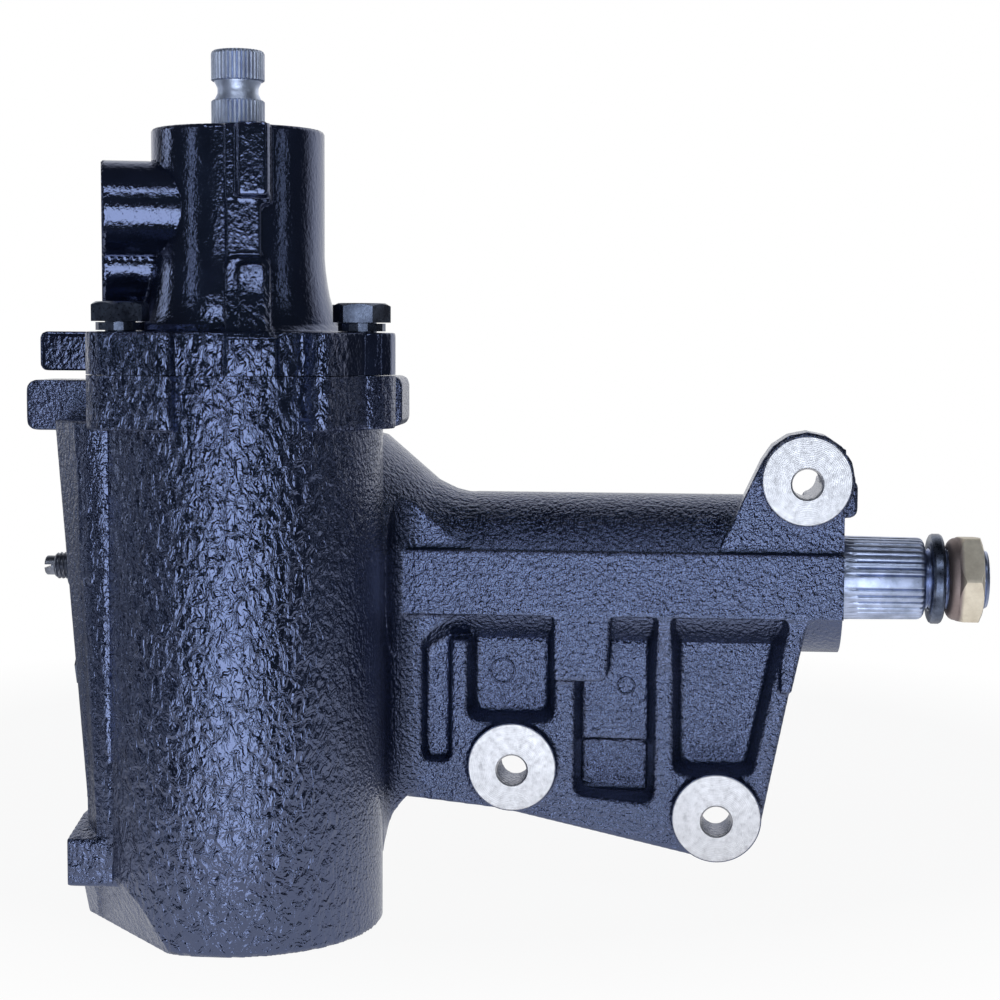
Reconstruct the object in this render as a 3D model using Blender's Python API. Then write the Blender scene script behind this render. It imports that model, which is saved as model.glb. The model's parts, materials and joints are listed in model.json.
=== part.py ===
"""Integral power steering gearbox, modelled in metres with +Z up.

The worm stands on the Z axis and the housing stands on its flat lower end at Z = 0.
The sector shaft runs along +X to the pitman arm splines, behind the worm at +Y.
The three machined frame pads face -Y. The input shaft leaves the top along +Z.
"""
import math

import bmesh
import bpy
from mathutils import Matrix, Vector

# Fits and clearances
SEAT_GAP = 0.0003          # between two pieces that touch
RUN_GAP = 0.0005           # between a turning or sliding piece and its bore
CUT_OVER = 0.0020          # how far a cutter runs past the face that it cuts
WELD = 0.000002            # points closer than this are one point
FLAT_ANGLE = math.radians(0.1)

# Worm bore of the gear housing
CASE_R = 0.0490
CASE_BORE_R = 0.0395
CASE_H = 0.1890
BASE_T = 0.0180
BASE_EDGE = 0.0008

# Sector shaft line and its chamber
SECTOR_Y = 0.0572
SECTOR_Z = 0.1154
CHAMBER_R = 0.0505
CHAMBER_BORE_R = 0.0385
CHAMBER_RIGHT = 0.0425     # where the chamber starts to taper to the tube
CHAMBER_END = 0.0755
CHAMBER_BORE_END = 0.0255
COVER_X = -0.0480          # face that the side cover bolts to
TUBE_R = 0.0285
TUBE_RISE = 0.0013         # the cast tube sits a little above its bore
TUBE_END = 0.2080
TUBE_BORE_R = 0.0208
SEAL_BORE_R = 0.0225
SEAL_BORE_LEN = 0.0270

# Frame pads and the pocketed web that carries them
PAD_Y = 0.02615
PAD_R = 0.0158
PAD_RISE = 0.0011          # the cast pad sits a little above its hole
PAD_T = 0.0201
FRAME_HOLE_R = 0.00525
FRAME_HOLE_EDGE = 0.0006
HOLE_UPPER = (0.1946, 0.1513)
HOLE_LOWER = (0.1647, 0.0314)
HOLE_INNER = (0.0920, 0.0481)
WEB_Y = 0.0310
WEB_T = 0.0150
WEB_RIM = 0.0012
WEB_FOOT_Z = 0.0405        # underside of the web beside the case
WEB_RIGHT = 0.1945
FLARE_X = 0.0488           # where the hollow between the case and the web starts
FLARE_R = 0.0125
POCKET_FLOOR_T = 0.0050
POCKET_DRAFT = 0.0027
POCKET_CORNER = 0.0040
BAND_Y = 0.0272
BAND_LOW = 0.1033
BAND_TOP = 0.1266
BAND_LEFT = 0.0520
EAR_Y = 0.0300

# Joint between the gear housing and the valve housing
FLANGE_T = 0.0175
VALVE_FLANGE_T = 0.0140
LUG_R = 0.0114
BOLT_POSTS = ((-0.0317, -0.0350), (0.0445, -0.0150), (0.0317, 0.0350), (-0.0350, 0.0340))
BOLT_R = 0.0050
BOLT_HOLE_R = 0.0053
BOLT_HEAD_AF = 0.0168
BOLT_HEAD_H = 0.0064
BOLT_DEPTH = 0.0300
WASHER_R = 0.0080
WASHER_T = 0.0026

# Directions in plan, measured around the worm's axis
RIB_TURN = math.radians(12.15)      # the front rib from -Y, and the passage rib from -X
PORT_TURN = math.radians(15.85)     # the hose ports from -X
FOOT_TURN = math.radians(220.6)     # the flat at the foot from +X

# Valve housing
VALVE_R = 0.02915
VALVE_TOP = 0.2707
VALVE_FLANGE_R = 0.0484
VALVE_BORE_R = 0.0203
VALVE_BORE_TOP = 0.2500
NOSE_BORE_R = 0.0170
SPIGOT_LEN = 0.0110
BEARING_R = 0.0280
PORT_FACE_X = -0.0458      # the ports' common face, before its turn in plan
PRESSURE_PORT = (-0.0051, 0.2439)
PRESSURE_BOSS_R = 0.0159
PRESSURE_SOCKET_R = 0.0080
RETURN_PORT = (0.0100, 0.2255)
RETURN_BOSS_R = 0.0140
RETURN_SOCKET_R = 0.0072
SOCKET_DEPTH = 0.0150
PORT_DRILL_R = 0.0030

# Oil passage down the left of the gear housing
PASSAGE = (-0.0435, -0.0094)
PASSAGE_R = 0.0026
PASSAGE_Z = 0.0260
LUG_X = -0.0527
PLUG_R = 0.0060
PLUG_LEN = 0.0045
FOOT_FLAT = 0.0410
FOOT_SLOPE = 0.36
FOOT_X = -0.0548
FOOT_H = 0.0176

# Side cover and adjuster
COVER_R = 0.0460
COVER_T = 0.0100
COVER_BOLT_CIRCLE = 0.0455
COVER_LUG_R = 0.0085
COVER_BOLT_R = 0.0040
COVER_HEAD_AF = 0.0130
COVER_HEAD_H = 0.0055
COVER_HUB_R = 0.0235
COVER_HUB_END = -0.0225
COVER_GROOVE_R = 0.0355
COVER_BOSS_R = 0.0130
COVER_BOSS_X = -0.0700
ADJUSTER_R = 0.0050
ADJUSTER_TIP_X = -0.0860
ADJUSTER_HEAD_R = 0.0080
ADJUSTER_HEAD_T = 0.0048
LOCK_NUT_AF = 0.0170
LOCK_NUT_H = 0.0060

# Sector shaft
SECTOR_TEETH = 9           # in the full circle, three are kept
SECTOR_PITCH_R = 0.0290
TOOTH_ADDENDUM = 0.0048
TOOTH_DEDENDUM = 0.0056
PRESSURE_ANGLE = math.radians(25.0)
TOOTH_BACKLASH = 0.0006
SECTOR_HALF_W = 0.0190
SHAFT_R = 0.0165
SHOULDER_R = 0.0200
SHAFT_LEFT = -0.0455
SPLINE_START = 0.2098
SPLINE_END = 0.2384
SPLINE_R = 0.0152
SPLINE_DEPTH = 0.0010
SPLINE_TEETH = 36
MASTER_TEETH = 4
SPLINE_TAPER = 0.0005
SHAFT_THREAD_R = 0.0110
SHAFT_END = 0.2610
PITMAN_WASHER_X = 0.2403
PITMAN_WASHER_T = 0.0048
PITMAN_WASHER_R = 0.0163
PITMAN_NUT_X = 0.2466
PITMAN_NUT_AF = 0.0300
PITMAN_NUT_H = 0.0122
PITMAN_COLLAR_T = 0.0034

# Worm, rack piston and ball track
WORM_R = 0.0120
WORM_LOW = 0.0750
WORM_TOP = 0.1756
TRACK_LOW = 0.0930
LEAD = 0.0115
BALL_R = 0.0032
BALL_CIRCLE_R = 0.0125
TRACK_GAP = 0.0010
BALL_COUNT = 30
BALL_NECK_R = 0.0012
TRACK_TURNS = 2.5
TRACK_STEPS = 12           # straight stretches in a turn of the track
PISTON_LOW = 0.0460
PISTON_TOP = 0.1530
PISTON_FLAT_LOW = 0.0790
PISTON_HOLLOW_R = 0.0140
PLUG_T = 0.0060
GUIDE_R = 0.0042
GUIDE_Y = -0.0300
GUIDE_RECESS_Y = -0.0255
STRAP_Y = -0.0362
STRAP_T = 0.0016
CLAMP_HEAD_T = 0.0010

# Valve sleeve, input shaft and torsion bar
SLEEVE_LOW = 0.1900
SLEEVE_TOP = 0.2480
SLEEVE_R = 0.0200
SLEEVE_BORE_R = 0.0121
SLEEVE_GROOVES = (0.2060, 0.2225, 0.2390)
BEARING_SEAT_R = 0.0150
INPUT_LOW = 0.1960
INPUT_TOP = 0.2976
INPUT_JOURNAL_R = 0.0110
INPUT_SPLINE_R = 0.0090
INPUT_SPLINE_DEPTH = 0.0007
INPUT_TEETH = 32
INPUT_NECK_LOW = 0.2810
INPUT_NECK_TOP = 0.2873
INPUT_NECK_R = 0.0069
BAR_R = 0.0030
BAR_LOW = 0.1005
BAR_TOP = 0.2700
PIN_R = 0.0014

# Facets
ROUND_LARGE = 32
ROUND_MID = 24
ROUND_SMALL = 16
ROUND_TINY = 8

# Worked out from the sizes above
SECTOR = (SECTOR_Y, SECTOR_Z)
TOOTH_PITCH = 2.0 * math.pi * SECTOR_PITCH_R / SECTOR_TEETH
RACK_LINE_Y = SECTOR_Y - SECTOR_PITCH_R
WEB_BACK = WEB_Y + WEB_T
FLANGE_LOW = CASE_H - FLANGE_T
VALVE_LOW = CASE_H + SEAT_GAP
VALVE_FLANGE_TOP = VALVE_LOW + VALVE_FLANGE_T
SPIGOT_LOW = VALVE_LOW - SPIGOT_LEN
PAD_CENTRES = tuple((x, z + PAD_RISE) for x, z in (HOLE_UPPER, HOLE_LOWER, HOLE_INNER))


# Outlines

def circle_points(u, v, radius, count):
    """Points around a circle in the plane of an outline."""
    steps = (2.0 * math.pi * i / count for i in range(count))
    return [(u + radius * math.cos(a), v + radius * math.sin(a)) for a in steps]


def around(circles, count=16):
    """Outline of a band pulled tight around circles (u, v, radius)."""
    points = sorted(p for u, v, r in circles for p in circle_points(u, v, r, count))
    outline = []
    for run in (points, points[::-1]):
        chain = []
        for p in run:
            while len(chain) > 1 and turn(chain[-2], chain[-1], p) <= 1e-12:
                chain.pop()
            chain.append(p)
        outline += chain[:-1]
    return outline


def turn(a, b, c):
    """Twice the signed area of a triangle, positive where it turns left."""
    return (b[0] - a[0]) * (c[1] - a[1]) - (b[1] - a[1]) * (c[0] - a[0])


def rounded(corners, steps=4):
    """Outline through corners (u, v, radius), with an arc at each corner."""
    outline = []
    for i, (u, v, radius) in enumerate(corners):
        here = Vector((u, v))
        back = Vector(corners[i - 1][:2]) - here
        ahead = Vector(corners[(i + 1) % len(corners)][:2]) - here
        half = back.angle(ahead) / 2.0
        reach = min(radius / math.tan(half), 0.45 * back.length, 0.45 * ahead.length)
        if reach <= 0.0:
            outline.append((u, v))
            continue
        arc_r = reach * math.tan(half)
        middle = (back.normalized() + ahead.normalized()).normalized()
        centre = here + middle * (arc_r / math.sin(half))
        first = here + back.normalized() * reach - centre
        last = here + ahead.normalized() * reach - centre
        start = math.atan2(first.y, first.x)
        sweep = math.remainder(math.atan2(last.y, last.x) - start, 2.0 * math.pi)
        for k in range(steps + 1):
            a = start + sweep * k / steps
            outline.append((centre.x + arc_r * math.cos(a), centre.y + arc_r * math.sin(a)))
    return outline


def box_corners(low_u, high_u, low_v, high_v, radius=0.0):
    """Corners of an upright rectangle for rounded()."""
    return [(low_u, low_v, radius), (high_u, low_v, radius),
            (high_u, high_v, radius), (low_u, high_v, radius)]


def inset(corners, depth):
    """The corners moved inward by depth, for an outline that runs anticlockwise."""
    moved = []
    for i, (u, v, radius) in enumerate(corners):
        here = Vector((u, v))
        along = (here - Vector(corners[i - 1][:2])).normalized()
        onward = (Vector(corners[(i + 1) % len(corners)][:2]) - here).normalized()
        inward = Vector((-along.y - onward.y, along.x + onward.x))
        inward = inward / (1.0 + along.dot(onward))
        moved.append((u + inward.x * depth, v + inward.y * depth, radius))
    return moved


def toothed_ring(count, root_r, tip_r, blanks=0):
    """Outline of fine serrations around the origin, some of the grooves left out as master teeth."""
    outline = []
    pitch = 2.0 * math.pi / count
    for i in range(count):
        filled = blanks and i % (count // blanks) == 0
        for share, radius in ((-0.35, tip_r), (0.0, tip_r if filled else root_r), (0.35, tip_r)):
            a = pitch * (i + share)
            outline.append((radius * math.cos(a), radius * math.sin(a)))
    return outline


# Solids. Each is one bmesh object in world coordinates

AXIS_FRAME = {
    "X": lambda u, v, h: (h, u, v),
    "Y": lambda u, v, h: (u, h, v),
    "Z": lambda u, v, h: (u, v, h),
}


def from_bmesh(name, shape):
    """A scene object from a bmesh whose faces are turned outward first."""
    bmesh.ops.recalc_face_normals(shape, faces=shape.faces)
    mesh = bpy.data.meshes.new(name)
    shape.to_mesh(mesh)
    shape.free()
    solid = bpy.data.objects.new(name, mesh)
    bpy.context.scene.collection.objects.link(solid)
    return solid


def loft(name, axis, sections):
    """A solid through outlines with equal point counts: (height, outline) pairs."""
    place = AXIS_FRAME[axis]
    shape = bmesh.new()
    rings = [[shape.verts.new(place(u, v, h)) for u, v in outline] for h, outline in sections]
    for low, high in zip(rings, rings[1:]):
        for i in range(len(low)):
            k = (i + 1) % len(low)
            shape.faces.new((low[i], low[k], high[k], high[i]))
    shape.faces.new(rings[0])
    shape.faces.new(rings[-1][::-1])
    return from_bmesh(name, shape)


def prism(name, axis, outline, low, high):
    """An outline pushed straight along an axis."""
    return loft(name, axis, [(low, outline), (high, outline)])


def lathe(name, axis, profile, segments, centre=(0.0, 0.0)):
    """A turned solid from profile points (height, radius).

    A profile that starts and ends on the axis is closed by flat ends, any other one is a ring.
    """
    place = AXIS_FRAME[axis]
    shape = bmesh.new()
    rings = []
    for height, radius in profile:
        if radius > 0.0:
            points = circle_points(centre[0], centre[1], radius, segments)
            rings.append([shape.verts.new(place(u, v, height)) for u, v in points])
    pairs = list(zip(rings, rings[1:]))
    if len(rings) == len(profile):
        pairs.append((rings[-1], rings[0]))
    else:
        shape.faces.new(rings[0])
        shape.faces.new(rings[-1][::-1])
    for low, high in pairs:
        for i in range(segments):
            k = (i + 1) % segments
            shape.faces.new((low[i], low[k], high[k], high[i]))
    return from_bmesh(name, shape)


def rod(name, axis, centre, radius, low, high, segments=ROUND_SMALL):
    """A plain round bar between two heights on an axis."""
    return lathe(name, axis, [(low, 0.0), (low, radius), (high, radius), (high, 0.0)], segments, centre)


def ring(name, axis, centre, inner, outer, low, high, segments=ROUND_SMALL, edge=0.0):
    """A flat ring with an optional chamfer on its outer edges."""
    profile = [(low, inner), (high, inner), (high, outer - edge), (high - edge, outer),
               (low + edge, outer), (low, outer - edge)]
    if edge == 0.0:
        profile = [(low, inner), (high, inner), (high, outer), (low, outer)]
    return lathe(name, axis, profile, segments, centre)


def round_ring(name, axis, centre, ring_r, section_r, height, segments=ROUND_SMALL, sides=4):
    """An O-ring."""
    profile = [(height + section_r * math.sin(2.0 * math.pi * i / sides),
                ring_r + section_r * math.cos(2.0 * math.pi * i / sides)) for i in range(sides)]
    return lathe(name, axis, profile, segments, centre)


def block(name, x, y, z):
    """A box from three (low, high) pairs."""
    return prism(name, "Z", [(x[0], y[0]), (x[1], y[0]), (x[1], y[1]), (x[0], y[1])], z[0], z[1])


def helix_skin(name, stations, sides):
    """A skin around the worm's right-handed helix, through stations (angle, path radius, tube radius)."""
    rise = LEAD / (2.0 * math.pi)
    sections = []
    for angle, path_r, tube_r in stations:
        out = Vector((math.cos(angle), math.sin(angle), 0.0))
        along = Vector((-path_r * math.sin(angle), path_r * math.cos(angle), rise)).normalized()
        side = along.cross(out)
        middle = out * path_r + Vector((0.0, 0.0, SECTOR_Z + rise * angle))
        sections.append([middle + out * (tube_r * math.cos(b)) + side * (tube_r * math.sin(b))
                         for b in (2.0 * math.pi * (i + 0.5) / sides for i in range(sides))])
    return tube_through(name, sections)


def helix_angle(height):
    """The helix angle at a height, zero at the sector shaft's height."""
    return 2.0 * math.pi * (height - SECTOR_Z) / LEAD


def ball_track(low, high):
    """A cutter for the ball track between two heights."""
    first, last = helix_angle(low), helix_angle(high)
    count = int(math.ceil((last - first) / (2.0 * math.pi) * TRACK_STEPS))
    path_r = 2.0 * BALL_CIRCLE_R / (1.0 + math.cos(math.pi / TRACK_STEPS))
    stations = [(first + (last - first) * k / count, path_r, BALL_R + TRACK_GAP) for k in range(count + 1)]
    return helix_skin("track", stations, 6)


def tube_through(name, sections):
    """A closed tube skin through rings of points."""
    shape = bmesh.new()
    rings = [[shape.verts.new(p) for p in section] for section in sections]
    for low, high in zip(rings, rings[1:]):
        for i in range(len(low)):
            k = (i + 1) % len(low)
            shape.faces.new((low[i], low[k], high[k], high[i]))
    shape.faces.new(rings[0])
    shape.faces.new(rings[-1][::-1])
    return from_bmesh(name, shape)


def combine(target, operation, *tools):
    """Join, cut or trim the target with each tool in turn, and remove the tools."""
    for tool in tools:
        step = target.modifiers.new(operation.title(), "BOOLEAN")
        step.operation = operation
        step.solver = "EXACT"
        step.object = tool
        depsgraph = bpy.context.evaluated_depsgraph_get()
        mesh = bpy.data.meshes.new_from_object(target.evaluated_get(depsgraph))
        target.modifiers.clear()
        weld(mesh)
        target.data = mesh
        bpy.data.objects.remove(tool)
    return target


def weld(mesh):
    """Close the hairline edges that a Boolean leaves, and merge what lies in one plane."""
    shape = bmesh.new()
    shape.from_mesh(mesh)
    bmesh.ops.remove_doubles(shape, verts=shape.verts, dist=WELD)
    bmesh.ops.dissolve_degenerate(shape, edges=shape.edges, dist=WELD)
    bmesh.ops.dissolve_limit(shape, angle_limit=FLAT_ANGLE, verts=shape.verts, edges=shape.edges)
    shape.to_mesh(mesh)
    shape.free()


def join(target, *tools):
    return combine(target, "UNION", *tools)


def cut(target, *tools):
    return combine(target, "DIFFERENCE", *tools)


def swing(solid, angle):
    """The solid turned about the worm's axis."""
    solid.data.transform(Matrix.Rotation(angle, 4, "Z"))
    return solid


def hex_bar(name, axis, centre, across_flats, low, high, spin=0.0):
    """A hexagon bar, with a corner on the outline's first axis unless it is spun."""
    corner = across_flats / math.sqrt(3.0)
    outline = [(centre[0] + corner * math.cos(spin + i * math.pi / 3.0),
                centre[1] + corner * math.sin(spin + i * math.pi / 3.0)) for i in range(6)]
    return prism(name, axis, outline, low, high)


def chamfered_hex(name, axis, centre, across_flats, low, high, spin=0.0, both=False):
    """A hexagon head, its corners turned off at the high end, or at both ends."""
    head = hex_bar(name, axis, centre, across_flats, low, high, spin)
    corner = across_flats / math.sqrt(3.0)
    face_r = 0.47 * across_flats
    drop = (corner - face_r) * math.tan(math.radians(28.0))
    over = 1.02 * corner
    first = [(low, face_r), (low + drop, over)] if both else [(low, over)]
    profile = [(low, 0.0)] + first + [(high - drop, over), (high, face_r), (high, 0.0)]
    return combine(head, "INTERSECT", lathe("turning", axis, profile, ROUND_SMALL, centre))


# Finish

def paint(name, colour, roughness, metallic):
    """A plain finish for one kind of surface."""
    finish = bpy.data.materials.new(name)
    finish.use_nodes = True
    shader = finish.node_tree.nodes["Principled BSDF"]
    shader.inputs["Base Color"].default_value = (*colour, 1.0)
    shader.inputs["Roughness"].default_value = roughness
    shader.inputs["Metallic"].default_value = metallic
    return finish


FINISHES = {
    "black_paint": ((0.016, 0.019, 0.035), 0.28, 0.0),
    "black_oxide": ((0.012, 0.013, 0.020), 0.35, 0.4),
    "ground_steel": ((0.56, 0.56, 0.60), 0.30, 1.0),
    "dark_steel": ((0.20, 0.19, 0.20), 0.38, 1.0),
    "hard_steel": ((0.42, 0.42, 0.45), 0.25, 1.0),
    "zinc_yellow": ((0.78, 0.68, 0.45), 0.28, 1.0),
    "seal_rubber": ((0.020, 0.020, 0.022), 0.70, 0.0),
    "seal_plastic": ((0.30, 0.24, 0.16), 0.50, 0.0),
    "brass": ((0.66, 0.50, 0.24), 0.32, 1.0),
}


def finish_piece(solid, finish, carrier):
    """Smooth shading, its own material, and the empty that carries the piece."""
    colour, roughness, metallic = FINISHES[finish]
    solid.data.materials.clear()
    solid.data.materials.append(paint(solid.name + "_" + finish, colour, roughness, metallic))
    solid.data.shade_smooth()
    solid.data.set_sharp_from_angle(angle=math.radians(32.0))
    solid.data.transform(Matrix.Translation(-carrier.location))
    solid.parent = carrier
    return solid


def axis_empty(name, location):
    """An empty on a joint's axis."""
    empty = bpy.data.objects.new(name, None)
    empty.empty_display_size = 0.02
    empty.location = location
    bpy.context.scene.collection.objects.link(empty)
    return empty


# Gear housing

def flare_corners(far_x, far_y):
    """Plan of the hollow between the case and the web, its round corner against the web."""
    return [(FLARE_X, -0.0600, 0.0), (far_x, -0.0600, 0.0), (far_x, far_y, 0.0), (FLARE_X, far_y, FLARE_R)]


def chamber():
    """The sector chamber and its taper, cut back in front to the hollow beside the case."""
    shoulder_r = TUBE_R + 0.0045
    taper_x = CHAMBER_RIGHT + 1.1 * (CHAMBER_R - shoulder_r)
    profile = [(COVER_X - CUT_OVER, 0.0), (COVER_X - CUT_OVER, COVER_R),
               (COVER_X + 0.0080, CHAMBER_R - 0.0030),
               (CHAMBER_RIGHT - 0.0050, CHAMBER_R), (CHAMBER_RIGHT, CHAMBER_R - 0.0012),
               (taper_x, shoulder_r),
               (0.5 * (taper_x + CHAMBER_END), TUBE_R + 0.0012), (CHAMBER_END, TUBE_R - 0.0004),
               (CHAMBER_END, 0.0)]
    body = lathe("chamber", "X", profile, ROUND_LARGE, (SECTOR_Y, SECTOR_Z + TUBE_RISE))
    front = prism("front", "Z", rounded(flare_corners(CHAMBER_END + CUT_OVER, WEB_Y + 0.0002), 6), 0.04, 0.19)
    return cut(body, front)


def tube():
    """The tube that carries the sector shaft."""
    return rod("tube", "X", (SECTOR_Y, SECTOR_Z + TUBE_RISE), TUBE_R, 0.0300, TUBE_END, ROUND_LARGE)


def web_root():
    """The flare that grows out of the case into the web, hollow in front and underneath."""
    lowest = WEB_FOOT_Z - 0.0225
    sweep = ((0.0, CASE_R - 0.0010), (0.0, CASE_R - 0.0001), (0.0045, CASE_R + 0.0010),
             (0.0090, CASE_R + 0.0033),
             (0.0140, CASE_R + 0.0070), (0.0190, CASE_R + 0.0130), (0.0220, CASE_R + 0.0200),
             (0.0227, CASE_R + 0.0320))
    profile = [(lowest, 0.0)] + [(lowest + rise, radius) for rise, radius in sweep]
    profile += [(BAND_TOP, CASE_R + 0.0320), (BAND_TOP, 0.0)]
    root = lathe("web_root", "Z", profile, ROUND_LARGE)
    back = WEB_BACK - 0.0006
    front = WEB_Y + 0.0002
    plan = rounded([(FLARE_X - 0.0010, 0.0030, 0.0), (FLARE_X, front, FLARE_R),
                    (FLARE_X + 0.0280, front, 0.0),
                    (FLARE_X + 0.0280, back, 0.0), (0.0100, back, 0.0), (0.0100, 0.0030, 0.0)], 6)
    return combine(root, "INTERSECT", prism("plan", "Z", plan, 0.0, CASE_H))


def web_plate():
    """The web under the tube, with the ramps where its ribs rise to the band."""
    lower, inner = PAD_CENTRES[1:]
    rim = PAD_R + WEB_RIM
    left = 0.0150
    right = [(WEB_RIGHT - 0.0050, BAND_LOW, 0.004), (WEB_RIGHT - 0.0050, BAND_LOW - 0.0080, 0.004)]
    outline = around([(*lower, rim - 0.0006), (*inner, rim), (0.0600, SECTOR_Z, 0.004)] + right)
    plate = prism("web", "Y", outline, WEB_Y, WEB_BACK)
    foot_r = 0.0055
    shoulder = around([(left, WEB_FOOT_Z + foot_r, foot_r), (0.0625, WEB_FOOT_Z + foot_r, foot_r),
                       (left, SECTOR_Z, 0.004), (*inner, rim - 0.0003)])
    ramp_side = [(BAND_Y + 0.0003, BAND_LOW + 0.0020), (BAND_Y + 0.0003, BAND_LOW - 0.0015),
                 (WEB_Y + 0.0001, BAND_LOW - 0.0200), (WEB_Y + 0.0040, BAND_LOW - 0.0200),
                 (WEB_Y + 0.0040, BAND_LOW + 0.0020)]
    corner = [(WEB_RIGHT - 0.0080, BAND_LOW - 0.0260, 0.0), (WEB_RIGHT - 0.0042, BAND_LOW - 0.0260, 0.0),
              (WEB_RIGHT + 0.0014, BAND_LOW + 0.0003, 0.0110), (TUBE_END - 0.0005, BAND_LOW + 0.0003, 0.0),
              (TUBE_END - 0.0005, BAND_LOW + 0.0100, 0.0), (WEB_RIGHT - 0.0080, BAND_LOW + 0.0100, 0.0)]
    return join(plate,
                prism("shoulder", "Y", shoulder, WEB_Y + 0.0003, WEB_BACK - 0.0003),
                prism("ramp", "X", ramp_side, 0.1275, WEB_RIGHT - 0.0030),
                prism("corner", "Y", rounded(corner, 6), BAND_Y + 0.0005, WEB_BACK - 0.0010),
                web_root())


def pocket(corners, floor_y, draft=POCKET_DRAFT):
    """A drafted pocket cutter, open to the front of the web."""
    start = BAND_Y - CUT_OVER
    mouth = inset(corners, -draft * (WEB_Y - start) / (floor_y - WEB_Y))
    return loft("pocket", "Y", [(start, rounded(mouth)), (floor_y, rounded(inset(corners, draft)))])


def web_pockets():
    """The pockets between the ribs, each running up under the tube."""
    floor = WEB_BACK - POCKET_FLOOR_T
    high = BAND_LOW + 0.0010
    c = POCKET_CORNER
    left = box_corners(0.0592, 0.0698, 0.0495, high, 0.0030)
    square = box_corners(0.0753, 0.1066, 0.0645, high, c)
    tall = [(0.1138, 0.0385, c), (0.1425, 0.0355, c), (0.1425, high, c), (0.1138, high, c)]
    deep = box_corners(0.1160, 0.1400, 0.0385, 0.0572, 0.0020)
    wedge = [(0.1490, 0.0467, c), (0.1772, 0.0467, c), (0.1890, high, c), (0.1486, high, c)]
    deep_cut = prism("deep", "Y", rounded(deep), floor - CUT_OVER, floor + 0.0035)
    channel = block("channel", (0.0610, 0.0765), (WEB_Y - 0.0020, floor - 0.0002),
                    (BAND_LOW - 0.0095, high - 0.0002))
    return [pocket(left, floor - 0.0040, 0.0012), pocket(square, floor - 0.0010), pocket(tall, floor),
            deep_cut, pocket(wedge, floor + 0.0005), channel]


def band_and_tab():
    """The flat band along the front of the tube, with the tab between two pockets."""
    band = prism("band", "Y", rounded(box_corners(BAND_LEFT, TUBE_END - 0.0002, BAND_LOW, BAND_TOP, 0.0008)),
                 BAND_Y, SECTOR_Y - 0.0100)
    tab_outline = [(0.1062, BAND_TOP - 0.0040, 0.0), (0.1062, 0.0802, 0.0012), (0.1253, 0.0802, 0.0030),
                   (0.1268, BAND_LOW, 0.0), (0.1268, BAND_TOP - 0.0040, 0.0)]
    tab = prism("tab", "Y", rounded(tab_outline), BAND_Y + 0.0002, WEB_BACK - 0.0010)
    return band, tab


def upper_ear():
    """The ear over the tube's end, and the block that backs it."""
    upper = PAD_CENTRES[0]
    low = SECTOR_Z + 0.0130
    outline = around([(*upper, PAD_R + WEB_RIM), (0.1680, low, 0.003), (0.1900, low, 0.003),
                      (0.1680, SECTOR_Z, 0.003), (0.1900, SECTOR_Z, 0.003)])
    ear = prism("ear", "Y", outline, EAR_Y, WEB_BACK - 0.0004)
    side = block("ear_side", (0.1850, TUBE_END - 0.0001), (EAR_Y + 0.0001, WEB_BACK - 0.0005),
                 (SECTOR_Z, upper[1]))
    right = 0.2133
    backing = prism("backing", "Y", rounded(box_corners(right - 0.0180, right, 0.1385, 0.1522, 0.0030)),
                    EAR_Y + 0.0100, SECTOR_Y + 0.0060)
    return ear, side, backing


def pads():
    """The three bosses whose front faces are machined."""
    return [rod("pad", "Y", centre, PAD_R, PAD_Y, PAD_Y + PAD_T, ROUND_MID) for centre in PAD_CENTRES]


def frame_hole(centre):
    """A through hole with a small chamfer at the pad."""
    deep = FRAME_HOLE_EDGE
    far = PAD_Y + 2.0 * PAD_T
    profile = [(PAD_Y - CUT_OVER, 0.0), (PAD_Y - CUT_OVER, FRAME_HOLE_R + deep + CUT_OVER),
               (PAD_Y + deep, FRAME_HOLE_R), (far, FRAME_HOLE_R), (far, 0.0)]
    return lathe("frame_hole", "Y", profile, ROUND_SMALL, centre)


def post_lugs():
    """Outlines of the four bolt lugs, shared by both halves of the joint."""
    front_left, front_right, back_right, back_left = BOLT_POSTS
    return [around([(*front_left, LUG_R), (-0.0140, -0.0480, 0.0030), (-0.0220, -0.0200, 0.0080)]),
            around([(*front_right, LUG_R), (0.0300, -0.0100, 0.0080)]),
            around([(0.0350, -0.0378, 0.0042), (0.0450, -0.0240, 0.0030), (0.0250, -0.0250, 0.0080)]),
            around([(*back_right, LUG_R), (0.0180, 0.0200, 0.0080)]),
            around([(*back_left, LUG_R), (-0.0180, 0.0200, 0.0080)])]


def passage_rib():
    """The tapering rib that covers the oil passage down to the lower lug."""
    top = [(-0.0400, -0.0190), (-0.0420, -0.0215), (-0.0445, -0.0233), (-0.0500, -0.0215), (-0.0544, -0.0170),
           (-0.0618, -0.0030), (-0.0618, 0.0060), (-0.0400, 0.0060)]
    bottom = [(-0.0400, -0.0190), (-0.0415, -0.0222), (-0.0432, -0.0240), (-0.0479, -0.0205),
              (-0.0507, -0.0120),
              (-0.0507, -0.0030), (-0.0507, 0.0040), (-0.0400, 0.0040)]
    return swing(loft("rib", "Z", [(FOOT_H + 0.0080, bottom), (FLANGE_LOW + 0.0020, top)]), RIB_TURN)


def lower_lug():
    """The square lug at the foot of the passage, its top sloping back to the case."""
    side = rounded([(-0.0320, FOOT_H, 0.0), (0.0082, FOOT_H, 0.0), (0.0082, FOOT_H + 0.0205, 0.0),
                    (-0.0120, FOOT_H + 0.0205, 0.0), (-0.0320, FOOT_H + 0.0160, 0.0010)])
    return prism("lug", "X", side, LUG_X, -0.0300)


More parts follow.
